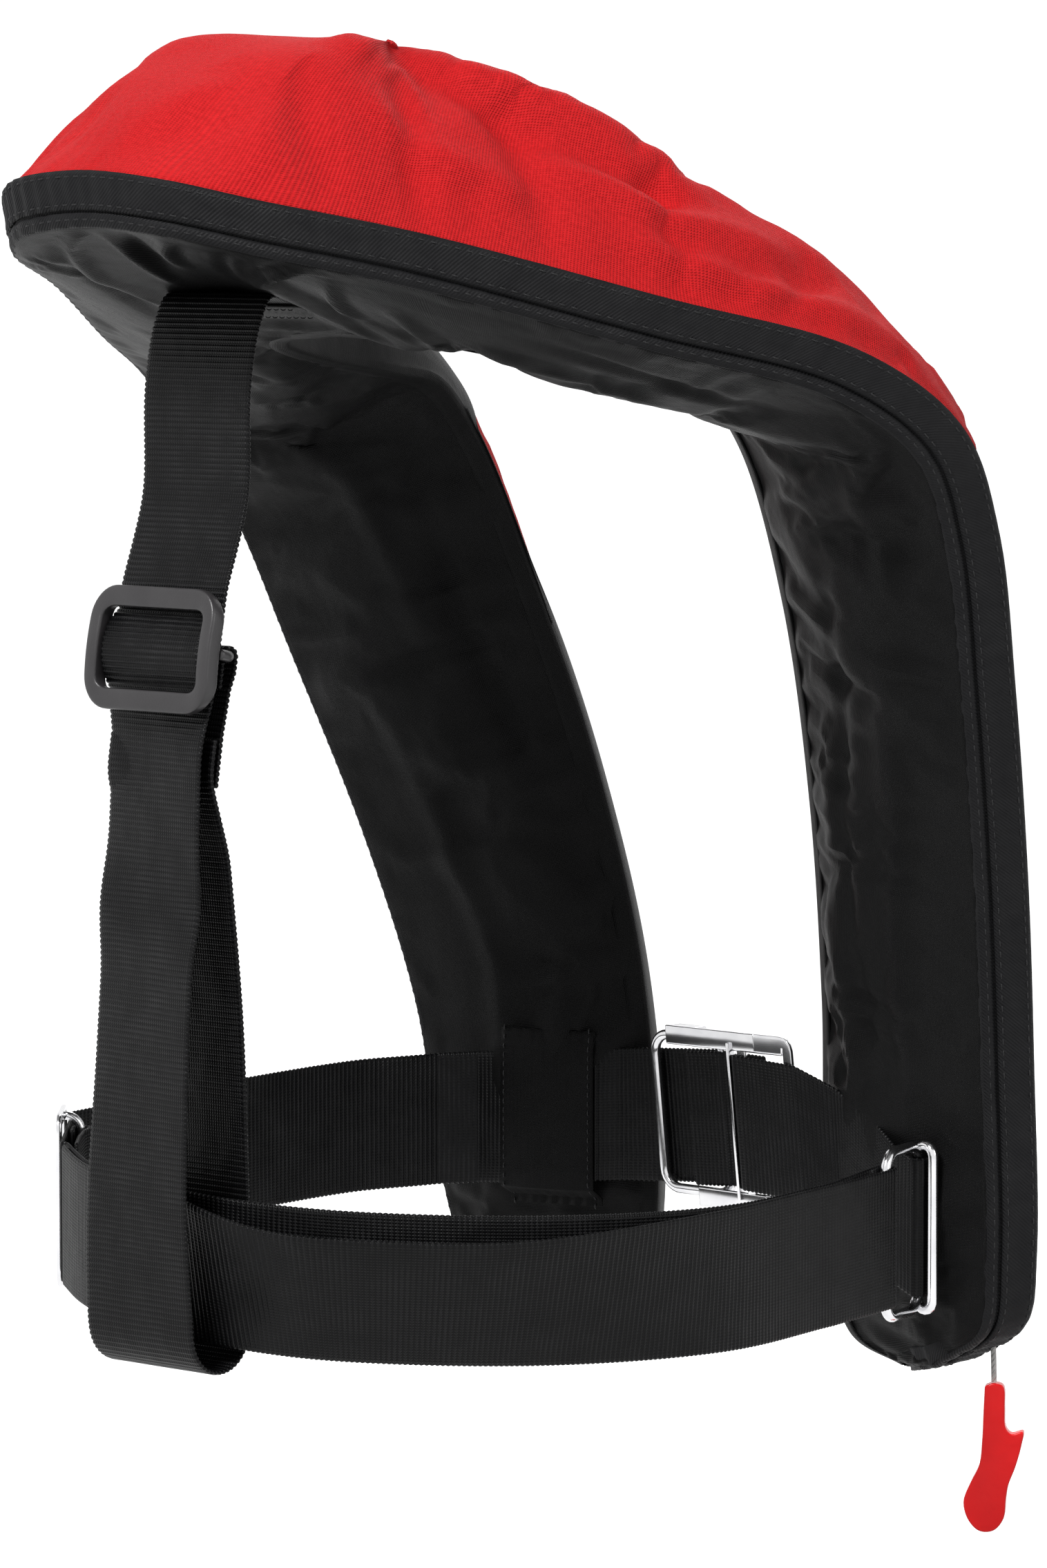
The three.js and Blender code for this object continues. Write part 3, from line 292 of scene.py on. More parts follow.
red_moulding = textured("red_moulding", (0.95, 0.008, 0.010), 0.24, (0.92, 0.006, 0.008), (0.99, 0.010, 0.012),
                        ("noise", 0.02), (0.0006, "noise", 0.006), Coat_Weight=0.10, Coat_Roughness=0.08,
                        Specular_IOR_Level=0.15)
dress(tab, red_moulding, "pull_handle", "red_plastic", "pull_tab")

# ---------------------------------------------------------------- cover
# Red woven polyester over the collar and both lobes. It is cut as one long curved panel and
# lies over the folded bladder, full behind the neck and flat on the chest, with long soft creases.
OUTER_EDGE = [(0, 118, 57), (34, 115, 54), (59, 95, 47), (88, 48, 36), (134, -19, 15), (170, -77, -3), (183, -113, -28),
              (179, -138, -64), (170, -159, -118), (156, -185, -190), (145, -203, -256), (139, -213, -325),
              (131, -218, -351), (108, -220, -365)]
INNER_EDGE = [(0, -5, 4), (16, -7, 3), (32, -13, 2), (46, -26, -1), (58, -62, -7), (61, -98, -12), (63, -122, -17),
              (63.5, -144, -38), (60, -172, -94), (52, -197, -166), (45, -213, -240), (43, -219, -326), (52, -221, -363),
              (78, -221, -373)]
COLLAR_SHARE = [1, 1.02, 1.07, 1.08, 0.68, 0.17, 0, 0, 0, 0, 0, 0, 0, 0]
LOBE_SHARE = [0, 0, 0, 0.1, 0.5, 0.85, 0.95, 1, 1, 1, 1, 1, 0.62, 0.12]
COLLAR_LOFT, LOBE_LOFT, COLLAR_LEAN, LOBE_LEAN = 75, 29, 0.35, 0.4
CROWN_FLAT, CROWN_ROUND = 2.6, 0.8  # the shape of the arch that the cover makes
SIDE_WALL, SIDE_SET_IN, LINING_SAG, FABRIC, GAP = 13, 8, 8, 1.6, 0.3
STRAP_REACH, EASED = 2.3, 0.4  # in places along the band
LAST = len(OUTER_EDGE) - 1


def both_sides(half):
    """One side's edge, from the nape down, made into the whole edge from the left lobe to the right."""
    half = np.array(half, float)
    return np.vstack([half[:0:-1], half * (-1, 1, 1)])


def sections(place):
    """Cuts across the band, from -LAST at the bottom of the left lobe to LAST at the right."""
    place = np.atleast_1d(np.asarray(place, float))
    u = (place + LAST) / (2 * LAST)
    outer, inner = through(both_sides(OUTER_EDGE), u), through(both_sides(INNER_EDGE), u)
    ahead, behind = np.minimum(u + 1e-3, 1), np.maximum(u - 1e-3, 0)
    along = unit(sum(through(both_sides(edge), ahead) - through(both_sides(edge), behind)
                     for edge in (OUTER_EDGE, INNER_EDGE)))
    across = unit(inner - outer)
    out = unit(np.cross(along, across))
    half = np.abs(place)
    spread = np.abs(half[:, None] + np.linspace(-EASED, EASED, 9))
    collar = np.interp(spread, np.arange(LAST + 1), COLLAR_SHARE).mean(axis=1)
    lobe = np.interp(spread, np.arange(LAST + 1), LOBE_SHARE).mean(axis=1)
    taut = np.exp(-((half / STRAP_REACH) ** 4))  # the strap's seam keeps the lining up in the middle
    sag = LINING_SAG * np.minimum(1, (LAST - half) * 0.6 + 0.15) * (1 - 0.95 * taut)
    loft = COLLAR_LOFT * collar + LOBE_LOFT * lobe
    hem = outer + across * SIDE_SET_IN - out * SIDE_WALL
    return {"place": place, "outer": outer, "inner": inner, "hem": hem, "across": across, "out": out, "loft": loft,
            "half": half, "sag": sag, "lean": COLLAR_LEAN * np.minimum(collar, 1) + LOBE_LEAN * lobe}


def cover_at(s, t, inset=0.0):
    """The cover, from its outer edge (t = 0) over the top to its inner edge (t = 1)."""
    t = np.atleast_2d(np.asarray(t, float))
    crown = t ** (1 + s["lean"][:, None])
    height = np.maximum(s["loft"] - inset, 0.4)[:, None] * (1 - np.abs(2 * crown - 1) ** CROWN_FLAT) ** CROWN_ROUND
    start, end = (s["outer"] + s["across"] * inset)[:, None], (s["inner"] - s["across"] * inset)[:, None]
    return start + (end - start) * t[..., None] + s["out"][:, None] * height[..., None]


def lining_at(s, t, depth):
    """The lining's line, depth millimetres towards the wearer: from the closure (t = 0) to the inner edge (t = 1)."""
    t = np.atleast_2d(np.asarray(t, float))
    belly = s["sag"][:, None] * 4 * t * (1 - t)
    start, end = s["hem"][:, None], s["inner"][:, None]
    return start + (end - start) * t[..., None] - s["out"][:, None] * (GAP + belly + depth)[..., None]


def lengths(points):
    """How far along rows and columns each point of a grid lies, in metres, for the weave."""
    def run(p):
        return np.concatenate([[0], np.cumsum(np.linalg.norm(np.diff(p, axis=0), axis=1))])
    middle = points[:, points.shape[1] // 2]
    long_way = np.tile(run(middle)[:, None], (1, points.shape[1]))
    wide_way = np.stack([run(row) for row in points])
    return np.stack([long_way, wide_way], axis=-1) * MM


def outward(points):
    """Unit normals of a grid of points."""
    return unit(np.cross(np.gradient(points, axis=0), np.gradient(points, axis=1)))


def crease(points, line, width, height):
    """A fold in cloth along a line of points: a ridge between two shallow valleys, fading at its ends."""
    run = np.concatenate([[0], np.cumsum(np.linalg.norm(np.diff(line, axis=0), axis=1))])
    nearest = np.full(points.shape[:2], np.inf)
    where = np.zeros(points.shape[:2])
    for a, b, start, end in zip(line[:-1], line[1:], run[:-1], run[1:]):
        part = np.clip(((points - a) @ (b - a)) / ((b - a) @ (b - a)), 0, 1)
        off = np.linalg.norm(points - (a + part[..., None] * (b - a)), axis=-1)
        closer = off < nearest
        nearest[closer] = off[closer]
        where[closer] = (start + part * (end - start))[closer] / run[-1]
    off = (nearest / width) ** 2
    return height * (1 - 0.55 * off) * np.exp(-0.8 * off) * np.sin(np.pi * np.clip(where, 0.03, 0.97)) ** 0.7


def rim(points):
    """Index of the points on the rim of a grid."""
    rows, columns = points.shape[:2]
    r, c = np.meshgrid(np.arange(rows), np.arange(columns), indexing="ij")
    return np.flatnonzero(((r == 0) | (r == rows - 1) | (c == 0) | (c == columns - 1)).ravel())


CLOTH_FRAMES = 18
CLOTH = {"vertex_group_mass": "sewn", "quality": 6, "mass": 0.12, "tension_stiffness": 20, "compression_stiffness": 20,
         "shear_stiffness": 6, "bending_stiffness": 0.6, "use_pressure": True}


def settle(name, points, growth, pressure, cap, face, inward, loose):
    """Lets cloth a little too big for its sewn edges find its own folds, where it is loose.

    It moves by at most cap millimetres, and by at most inward against the face that shows.
    """
    piece = surface(name, points)
    rest = np.array([v.co for v in piece.data.vertices])
    group = piece.vertex_groups.new(name="sewn")
    group.add([int(i) for i in rim(points)], 1.0, "REPLACE")
    cloth = piece.modifiers.new("cloth", "CLOTH")
    for setting, value in CLOTH.items():
        setattr(cloth.settings, setting, value)
    cloth.settings.shrink_min = -growth
    cloth.settings.uniform_pressure_force = pressure
    cloth.settings.effector_weights.gravity = 0
    cloth.collision_settings.use_collision = False
    cloth.point_cache.frame_start, cloth.point_cache.frame_end = 1, CLOTH_FRAMES
    for step in range(1, CLOTH_FRAMES + 1):
        scene.frame_set(step)
    settled = piece.evaluated_get(bpy.context.evaluated_depsgraph_get())
    moved = np.array([v.co for v in settled.data.vertices]) - rest
    scene.frame_set(1)
    used = piece.data
    bpy.data.objects.remove(piece)
    bpy.data.meshes.remove(used)
    far = np.linalg.norm(moved, axis=1, keepdims=True)
    moved = moved * np.minimum(1, cap * MM / np.maximum(far, 1e-9))
    moved[~np.isfinite(moved).all(axis=1)] = 0
    push = moved.reshape(points.shape) / MM
    along = (push * face).sum(axis=-1)
    push += (np.clip(along, -inward, cap) - along)[..., None] * face
    return points + push * loose[..., None]


def finer(grid, times):
    """The same smooth surface with each span of the grid cut into this many."""
    for axis in (0, 1):
        g = np.moveaxis(grid, axis, 0)
        x = np.linspace(0, len(g) - 1, (len(g) - 1) * times + 1)
        i = np.minimum(x.astype(int), len(g) - 2)
        w = (x - i)[:, None, None]
        ends = np.concatenate([2 * g[:1] - g[1:2], g, 2 * g[-1:] - g[-2:-1]])
        a, b, c, d = (ends[i + k] for k in range(4))
        g = b + 0.5 * w * (c - a + w * (2 * a - 5 * b + 4 * c - d + w * (3 * (b - c) + d - a)))
        grid = np.moveaxis(g, 0, axis)
    return grid


def thicken(piece, thick, side=-1):
    """Gives cloth its thickness: side is -1 behind its faces, 1 in front of them."""
    solid = piece.modifiers.new("thickness", "SOLIDIFY")
    solid.thickness = thick * MM
    solid.offset = side


def fold_line(where, on_cloth, steps=10):
    """Points on the cloth along a bent line, given as places and shares across."""
    corners = np.array(where, float)
    way = np.linspace(0, len(corners) - 1, steps + 1)
    count = np.arange(len(corners))
    steps_along = zip(np.interp(way, count, corners[:, 0]), np.interp(way, count, corners[:, 1]))
    return np.array([on_cloth(place, t) for place, t in steps_along])


def folded(points, on_cloth, folds):
    """The height, at each point of a grid, of all the folds in a list."""
    return sum(crease(points, fold_line(where, on_cloth), width, height) for where, width, height in folds)


def inside(t, margin):
    """From 0 at both edges of the cloth to 1 at this share of its width inside them."""
    return np.clip(np.minimum(t, 1 - t) / margin, 0, 1)


# Each fold: its corners as (place along the band, share across it), its width and its height in millimetres.
COVER_FOLDS = [
    ([(2.3, 0.56), (3.0, 0.42), (4.3, 0.38)], 9, 4.6), ([(2.5, 0.42), (3.3, 0.27), (4.4, 0.24)], 8, -4.2),
    ([(3.1, 0.30), (3.9, 0.20), (4.9, 0.27)], 8, 4.0), ([(3.7, 0.13), (4.5, 0.10), (5.5, 0.16)], 7, 2.8),
    ([(4.3, 0.42), (5.0, 0.34), (5.8, 0.40)], 8, 3.4), ([(2.0, 0.30), (2.8, 0.16), (3.5, 0.13)], 8, 2.2),
    ([(1.3, 0.46), (2.2, 0.36)], 10, 2.4), ([(0.3, 0.26), (1.6, 0.16)], 11, -1.6),
    ([(-1.6, 0.34), (0.2, 0.38)], 12, 2.0), ([(-2.6, 0.18), (-2.0, 0.36)], 7, 2.6),
    ([(-1.9, 0.12), (-1.2, 0.30)], 7, -2.0), ([(-3.4, 0.3), (-2.2, 0.5)], 9, 2.8),
    ([(-5.4, 0.4), (-3.6, 0.25)], 9, 3.2), ([(-4.8, 0.6), (-3.0, 0.66)], 9, 3.0),
    ([(-2.6, 0.62), (-0.6, 0.72)], 10, 2.6), ([(0.8, 0.66), (3.0, 0.76)], 9, 2.8),
    ([(5.6, 0.2), (7.6, 0.34)], 8, 2.8), ([(6.4, 0.6), (8.6, 0.46)], 9, 2.6), ([(8.2, 0.3), (10.4, 0.5)], 9, 2.6),
    ([(10.0, 0.7), (12.0, 0.4)], 8, 2.4), ([(-6.2, 0.5), (-8.4, 0.3)], 9, 2.8),
    ([(-8.0, 0.64), (-10.2, 0.44)], 9, 2.6), ([(-10.2, 0.3), (-12.2, 0.6)], 8, 2.4),
]
CLOTH_ROWS, CLOTH_COLUMNS, CLOTH_FINER = 340, 30, 2
COVER_THICK, FOLD_STRENGTH = 1.0, 1.35
GATHER_PLACE, GATHER_REACH, GATHER_SHARE, GATHER_PITCH, GATHER_HIGH = -2.2, 1.3, 0.13, 8.5, 1.3


def on_cover(place, t):
    return cover_at(sections([place]), [t])[0, 0]


cover_places, cover_t = np.linspace(-LAST, LAST, CLOTH_ROWS), np.linspace(0, 1, CLOTH_COLUMNS)
cover_points = cover_at(sections(cover_places), cover_t)
on_collar = np.where(np.abs(cover_places) > 6.5, 0.6, 1.0)
loose = on_collar[:, None] * inside(cover_t, 0.12)[None, :]
cover_points = settle("cover_rest", cover_points, 0.03, 1.5, 6, outward(cover_points), 3.5, loose)
cover_points = finer(cover_points, CLOTH_FINER)
cover_places, cover_t = np.linspace(-LAST, LAST, len(cover_points)), np.linspace(0, 1, cover_points.shape[1])
cover_uv = lengths(cover_points)
gathered = (np.exp(-((cover_places[:, None] - GATHER_PLACE) / GATHER_REACH) ** 2)
            * np.exp(-(cover_t[None, :] / GATHER_SHARE) ** 2))
folds = FOLD_STRENGTH * inside(cover_t, 0.06)[None, :] * folded(cover_points, on_cover, COVER_FOLDS)
folds += GATHER_HIGH * gathered * np.sin(cover_uv[..., 0] / MM / GATHER_PITCH * 2 * np.pi)
cover = surface("cover_cloth", cover_points + outward(cover_points) * folds[..., None], cover_uv)
thicken(cover, COVER_THICK)
red_cloth = textured("red_woven_polyester", (0.68, 0.012, 0.016), 0.7, (0.50, 0.007, 0.009), (0.63, 0.012, 0.015),
                     ("noise", 0.0016, 4.0), (0.0016, "noise", 0.03, 3.0), (0.00035, "weave", 0.0009), on="UV",
                     Sheen_Weight=0.12, Sheen_Roughness=0.4, Sheen_Tint=(1.0, 0.12, 0.12, 1), Specular_IOR_Level=0.12)
dress(cover, red_cloth, "jacket", "red_cloth", "cover_shell")

# ---------------------------------------------------------------- lining
# Smooth black nylon against the wearer. It is sewn to the cover along the neck and closed
# to it along the outside, and it hangs a little slack, so it falls in shallow satin folds.
LINING_FOLDS = [
    ([(0.1, 0.03), (-0.2, 0.24), (-0.62, 0.47)], 3.6, 3.0), ([(-0.1, 0.02), (-0.8, 0.12), (-1.9, 0.40)], 4.2, 3.2),
    ([(-0.6, 0.05), (-1.5, 0.25), (-2.4, 0.6)], 5, -2.6), ([(0.95, 0.03), (0.6, 0.15), (0.2, 0.33)], 3.6, 2.6),
    ([(0.45, 0.03), (0.1, 0.2), (-0.1, 0.36)], 3.4, -2.0), ([(2.25, 0.02), (1.9, 0.14), (1.1, 0.40)], 3.6, 2.8),
    ([(1.6, 0.03), (1.3, 0.16), (0.8, 0.38)], 3.4, -2.2), ([(2.3, 0.13), (2.1, 0.36), (1.95, 0.64)], 3.4, 3.2),
    ([(2.6, 0.3), (2.7, 0.52), (2.75, 0.78)], 4, 3.0), ([(-1.2, 0.84), (-0.2, 0.9), (0.8, 0.92)], 4, 2.6),
    ([(-2.6, 0.7), (-1.4, 0.76), (-0.8, 0.62)], 4, -2.4), ([(1.0, 0.62), (1.8, 0.8), (2.8, 0.9)], 4, 2.6),
    ([(3.1, 0.5), (3.8, 0.62), (4.6, 0.6)], 5, 2.6), ([(3.4, 0.22), (4.2, 0.34), (5.0, 0.32)], 5, -2.4),
    ([(4.6, 0.8), (5.4, 0.66), (6.2, 0.7)], 5, 2.6), ([(6.2, 0.35), (6.9, 0.6), (7.2, 0.85)], 5, 2.8),
    ([(5.6, 0.2), (6.6, 0.3), (7.6, 0.24)], 6, 2.4), ([(7.2, 0.55), (9.0, 0.66), (10.6, 0.6)], 7, -3.2),
    ([(7.9, 0.3), (9.4, 0.42), (11.0, 0.34)], 7, 2.8), ([(9.2, 0.84), (10.2, 0.7), (11.4, 0.78)], 5, 2.4),
    ([(10.6, 0.2), (11.6, 0.4), (12.5, 0.44)], 6, 2.6), ([(11.8, 0.8), (12.2, 0.6), (12.6, 0.3)], 5, -2.4),
    ([(-3.2, 0.4), (-4.4, 0.55), (-5.4, 0.45)], 6, 2.8), ([(-5.6, 0.3), (-6.8, 0.55), (-8.2, 0.6)], 7, 3.2),
    ([(-6.6, 0.8), (-8.0, 0.72), (-9.2, 0.82)], 6, -2.8), ([(-8.4, 0.3), (-9.8, 0.45), (-11.0, 0.36)], 7, 2.8),
    ([(-9.6, 0.75), (-10.8, 0.6), (-11.8, 0.7)], 6, 2.6), ([(-11.0, 0.25), (-12.0, 0.4), (-12.6, 0.6)], 6, -2.4),
]
LINING_THICK = 0.8


def on_lining(place, t):
    return lining_at(sections([place]), [t], FABRIC)[0, 0]


lining_places, lining_t = np.linspace(-LAST, LAST, CLOTH_ROWS), np.linspace(0, 1, CLOTH_COLUMNS)
lining_points = lining_at(sections(lining_places), lining_t, FABRIC)
beside_strap = 1 - 0.92 * np.exp(-(lining_places / 1.35) ** 4)  # the strap's seam holds it in the middle
loose = beside_strap[:, None] * inside(lining_t, 0.1)[None, :]
lining_points = settle("lining_rest", lining_points, 0.025, -0.8, 4.5, -outward(lining_points), 1.0, loose)
lining_points = finer(lining_points, CLOTH_FINER)
lining_t = np.linspace(0, 1, lining_points.shape[1])
slack = inside(lining_t, 0.05)[None, :] * folded(lining_points, on_lining, LINING_FOLDS)
lining = surface("lining_cloth_panel", lining_points - outward(lining_points) * slack[..., None],
                 lengths(lining_points))
thicken(lining, LINING_THICK, 1)
black_nylon = textured("black_nylon", (0.006, 0.006, 0.007), 0.42, (0.004, 0.004, 0.0042), (0.008, 0.008, 0.0082),
                       ("noise", 0.03, 3.0), (0.0016, "noise", 0.022, 3.0), (0.00015, "weave", 0.0006), on="UV",
                       Specular_IOR_Level=0.07)
dress(lining, black_nylon, "jacket", "lining_cloth", "lining_panel")

# ---------------------------------------------------------------- inner edge
# The lining's cloth is turned up over the cover along the whole inner edge and stitched down: a wide
# soft band round the neck, a narrow hem down the lobes. Only black touches the neck.
EDGE_THICK, HEM_SHARE, BAND_SHARE = 0.5, 0.055, 0.16
BARE_PLACE = -7.35  # where the far lobe's hem narrows and the red comes up to the edge


def eased(share):
    """The same share from 0 to 1, starting and ending gently."""
    return share * share * (3 - 2 * share)


edge_sections = sections(np.linspace(-LAST + 0.05, LAST - 0.05, 560))
edge_place = edge_sections["place"]
edge_out = edge_sections["out"][:, None]
round_collar = eased(np.clip((7.8 - edge_sections["half"]) / 1.2, 0, 1)) * np.clip((edge_place + 6.9) / 0.8, 0, 1)
bare = np.exp(-(edge_place - BARE_PLACE) ** 4)
hem_share = HEM_SHARE - 0.053 * bare
turned_up = hem_share + (BAND_SHARE - hem_share) * round_collar
up = turned_up[:, None] * np.array([1.0, 0.97, 0.75, 0.5, 0.28, 0.12, 0.03])[None, :]
on_cover_side = cover_at(edge_sections, 1 - up, -0.9)
on_cover_side[:, 0] -= 0.9 * edge_sections["out"]
bead_across = (1 - 0.8 * bare)[:, None] * np.array([1.5, 1.7, 1.1])
bead = (edge_sections["inner"][:, None] + bead_across[..., None] * edge_sections["across"][:, None]
        + edge_out * np.array([1.0, -0.6, -2.0])[None, :, None])
on_lining_side = lining_at(edge_sections, [0.992, 0.975, 0.95, 0.945], FABRIC + 0.5)
on_lining_side[:, 3] += edge_sections["out"] * 0.9
edge_grid = np.concatenate([on_cover_side, bead, on_lining_side], axis=1)
neck_edge = surface("inner_edge_band", edge_grid, lengths(edge_grid))
thicken(neck_edge, EDGE_THICK)
dress(neck_edge, black_nylon, "jacket", "lining_cloth", "neck_band")


# ---------------------------------------------------------------- edge tapes and side closure
# The cover and the lining are each bound with black woven tape, the cover's 12 mm wide and the
# lining's narrower, and a hidden closure joins the two. Thread runs along both edges of each tape.
def stitches(name, line, proud, pitch=4.2, long=2.9, thick=0.32):
    """A row of stitches on a line of points; proud is the direction out of the cloth at each."""
    joined, at = evenly(np.hstack([line, proud]), pitch)
    line, proud = joined[:, :3], unit(joined[:, 3:])
    heading = unit(np.gradient(line, axis=0))
    side = np.cross(heading, proud)
    turn = np.linspace(0, 2 * np.pi, 7)[:-1]
    shares, rise = np.array([-0.5, -0.36, 0, 0.36, 0.5]), np.array([-0.35, 0.05, 0.22, 0.05, -0.35])
    size = np.array([0.35, 0.9, 1, 0.9, 0.35]) * thick
    rings = (line[:, None, None] + heading[:, None, None] * (shares * long)[None, :, None, None]
             + proud[:, None, None] * (rise[None, :, None, None] + (np.sin(turn) * size[:, None])[None, ..., None] * 0.8)
             + side[:, None, None] * (np.cos(turn) * size[:, None])[None, ..., None])
    count, across, sides = len(line), 5, 6
    start = np.arange(count)[:, None, None] * across * sides
    r, k = np.arange(across - 1)[None, :, None] * sides, np.arange(sides)[None, None, :]
    k2 = (k + 1) % sides
    first, second = start + r + k, start + r + k2
    quads = np.stack([first, second, second + sides, first + sides], -1).reshape(-1, 4)
    mesh = bpy.data.meshes.new(name)
    mesh.from_pydata((rings.reshape(-1, 3) * MM).tolist(), [], quads.tolist())
    mesh.shade_smooth()
    row = bpy.data.objects.new(name, mesh)
    scene.collection.objects.link(row)
    return row


# The wall between the two edges, all round the outside and across the bottom of both lobes.
END_STEPS, TAPE_WALL = 30, 15.5
end_t = np.linspace(0.02, 0.94, END_STEPS)
wall_sections = sections(np.linspace(-LAST, LAST, 620))
ends = [sections([-LAST]), sections([LAST])]
upper = np.vstack([cover_at(ends[0], end_t[::-1])[0], wall_sections["outer"], cover_at(ends[1], end_t)[0]])
lower = np.vstack([lining_at(ends[0], end_t[::-1], 0)[0], lining_at(wall_sections, [0.0], 0)[:, 0],
                   lining_at(ends[1], end_t, 0)[0]])
wall_place = np.concatenate([np.full(END_STEPS, -LAST), wall_sections["place"], np.full(END_STEPS, LAST)])
for _ in range(6):
    upper[1:-1] = (upper[:-2] + 2 * upper[1:-1] + upper[2:]) / 4
    lower[1:-1] = (lower[:-2] + 2 * lower[1:-1] + lower[2:]) / 4
both = evenly(np.hstack([upper, lower, wall_place[:, None]]), 1.9)[0]
upper, lower, wall_place = both[:, :3], both[:, 3:6], both[:, 6]
wall_run = np.concatenate([[0], np.cumsum(np.linalg.norm(np.diff(upper, axis=0), axis=1))])
wall_down = unit(lower - upper)
wall_along = unit(np.gradient(upper, axis=0))
wall_out = unit(np.cross(wall_down, wall_along))
middle_row = len(upper) // 2
if wall_out[middle_row] @ np.array([0, 1, 0]) < 0:
    wall_out = -wall_out
wall_high = np.linalg.norm(lower - upper, axis=1)
pucker = np.exp(-((wall_place + 2.0) / 1.5) ** 2) + 0.5 * np.exp(-((np.abs(wall_place) - 12.8) / 0.5) ** 2) + 0.12
tape_high = np.minimum(wall_high, TAPE_WALL)


def strip(name, profile, wave=0.0, pitch=8.0):
    """A tape along the wall. profile goes round its cross-section: [share of the wall, mm out of it]."""
    p = np.array(profile, float)
    ripple = wave * pucker * np.sin(wall_run * 2 * np.pi / pitch + 1.3 * np.sin(wall_run / 31))
    d = tape_high[:, None] * p[None, :, 0]
    grid = (upper[:, None] + wall_down[:, None] * d[..., None]
            + wall_out[:, None] * (p[None, :, 1] + ripple[:, None])[..., None])
    around = np.concatenate([[0], np.cumsum(np.linalg.norm(np.diff(p * (15, 1), axis=0), axis=1))])
    uv = np.stack(np.broadcast_arrays(wall_run[:, None], around[None, :]), axis=-1) * MM
    return surface(name, grid, uv, loop_columns=True, caps=True)


black_tape = textured("black_binding_tape", (0.008, 0.008, 0.009), 0.6, (0.006, 0.006, 0.007), (0.012, 0.012, 0.013),
                      ("noise", 0.01), (0.00018, "DIAGONAL", 0.0007), (0.0006, "noise", 0.006), on="UV",
                      Specular_IOR_Level=0.14)
black_thread = textured("black_thread", (0.010, 0.010, 0.011), 0.55, (0.008, 0.008, 0.009), (0.013, 0.013, 0.014),
                        ("noise", 0.003), (0.0001, "DIAGONAL", 0.0005), Specular_IOR_Level=0.3)

cover_tape = strip("cover_tape_binding", [(-0.1, 0.1), (-0.13, 0.9), (-0.06, 1.7), (0.1, 2.0), (0.3, 1.75), (0.52, 1.75),
                                          (0.66, 1.95), (0.72, 1.5), (0.72, 0.4), (0.3, 0.25)], 0.55, 7.0)
dress(cover_tape, black_tape, "jacket", "edge_tape", "cover_edge_tape")
closure = strip("side_closure_cloth", [(0.06, -0.3), (0.06, 0.2), (0.5, 0.1), (0.9, 0.2), (1.0, -0.3), (0.9, -1.4),
                                       (0.3, -1.8)])
dress(closure, black_tape, "jacket", "edge_tape", "side_closure")
lining_tape = strip("lining_tape_binding", [(0.79, 0.1), (0.78, 0.9), (0.84, 1.6), (0.95, 1.7), (1.07, 1.3), (1.12, 0.2),
                                            (1.14, -2.5), (1.15, -6.8), (1.08, -7.6), (1.05, -7.0), (1.03, -1.5),
                                            (0.95, 0.1)], 0.3, 9.0)
dress(lining_tape, black_tape, "jacket", "edge_tape", "lining_edge_tape")
for name, share, proud in [("cover_tape_upper_thread", 0.0, 1.72), ("cover_tape_lower_thread", 0.6, 1.75),
                           ("lining_tape_thread", 0.92, 1.5)]:
    line = upper + wall_down * (tape_high * share)[:, None] + wall_out * proud
    dress(stitches(name, line, wall_out), black_thread, "jacket", "edge_tape")
edge_row = 1 - turned_up[:, None] * 0.9
round_neck = np.abs(edge_place) < 3.2
line = cover_at(edge_sections, edge_row, -0.95)[:, 0]
proud = line - cover_at(edge_sections, edge_row, 0)[:, 0]
row = stitches("inner_edge_thread", line[round_neck], proud[round_neck], thick=0.24)
dress(row, black_thread, "jacket", "lining_cloth")

# ---------------------------------------------------------------- back strap
# Black 50 mm webbing, woven with a fine rib across it. Its flat end is sewn under the collar; it runs
# down through the slider, turns round the belt and comes back up to the slider's middle bar.
WEB, WEB_THICK, RIB = 50, 1.6, 1.9


def webbing(name, centre, wide, thick=WEB_THICK, width=WEB):
    """Ribbed webbing along a line of points; wide is the direction across it at each."""
    joined, run = evenly(np.hstack([centre, wide]), RIB / 4)
    centre, wide = joined[:, :3], unit(joined[:, 3:])
    heading = unit(np.gradient(centre, axis=0))
    face = unit(np.cross(heading, wide))
    rib = np.abs(np.sin(np.pi * run / RIB)) ** 0.7
    half = width / 2 - 0.5 + 0.45 * rib
    swell = thick / 2 * (0.52 + 0.5 * rib)
    top_w = np.array([1.0, 0.985, 0.93, 0.6, 0.2, -0.2, -0.6, -0.93, -0.985, -1.0])
    top_f = np.array([0.0, 0.75, 1.0, 0.95, 1.0, 1.0, 0.95, 1.0, 0.75, 0.0])
    w = np.concatenate([top_w, top_w[-2:0:-1]])
    f = np.concatenate([top_f, -top_f[-2:0:-1]])
    grid = (centre[:, None] + wide[:, None] * (w[None, :] * half[:, None])[..., None]
            + face[:, None] * (f[None, :] * swell[:, None])[..., None])
    uv = np.stack(np.broadcast_arrays(run[:, None], w[None, :] * width / 2 + (f[None, :] < 0) * 0.001), axis=-1) * MM
    return surface(name, grid, uv, loop_columns=True, caps=True)


black_webbing = finish("black_ribbed_webbing", (0.009, 0.009, 0.010), 0.34, Specular_IOR_Level=0.12)
web_place = place_on(black_webbing, "UV")
ribs = bands(black_webbing, web_place, "X", RIB * MM)
# Painted highlight and painted shade: the colour runs from dark to light across each rib, lighter on the ribs and
# darker between them, and is broken up in soft spots.
rib_highlight_and_groove_shade = mathed(black_webbing, "MULTIPLY", ribs, noise(black_webbing, web_place, 0.012, 3.0))
shade(black_webbing, rib_highlight_and_groove_shade, (0.003, 0.003, 0.0034), (0.020, 0.020, 0.021))
relief(black_webbing, (pattern(black_webbing, web_place, "weave", RIB * MM / 2, 0.0011), 0.00016),
       (noise(black_webbing, web_place, 0.02), 0.001))

SPACING = WEB_THICK + 0.4
strap_slider = np.array([80.0, -102.0])
strap_down = unit([0.17, -0.985])
strap_out = np.array([-strap_down[1], strap_down[0]])


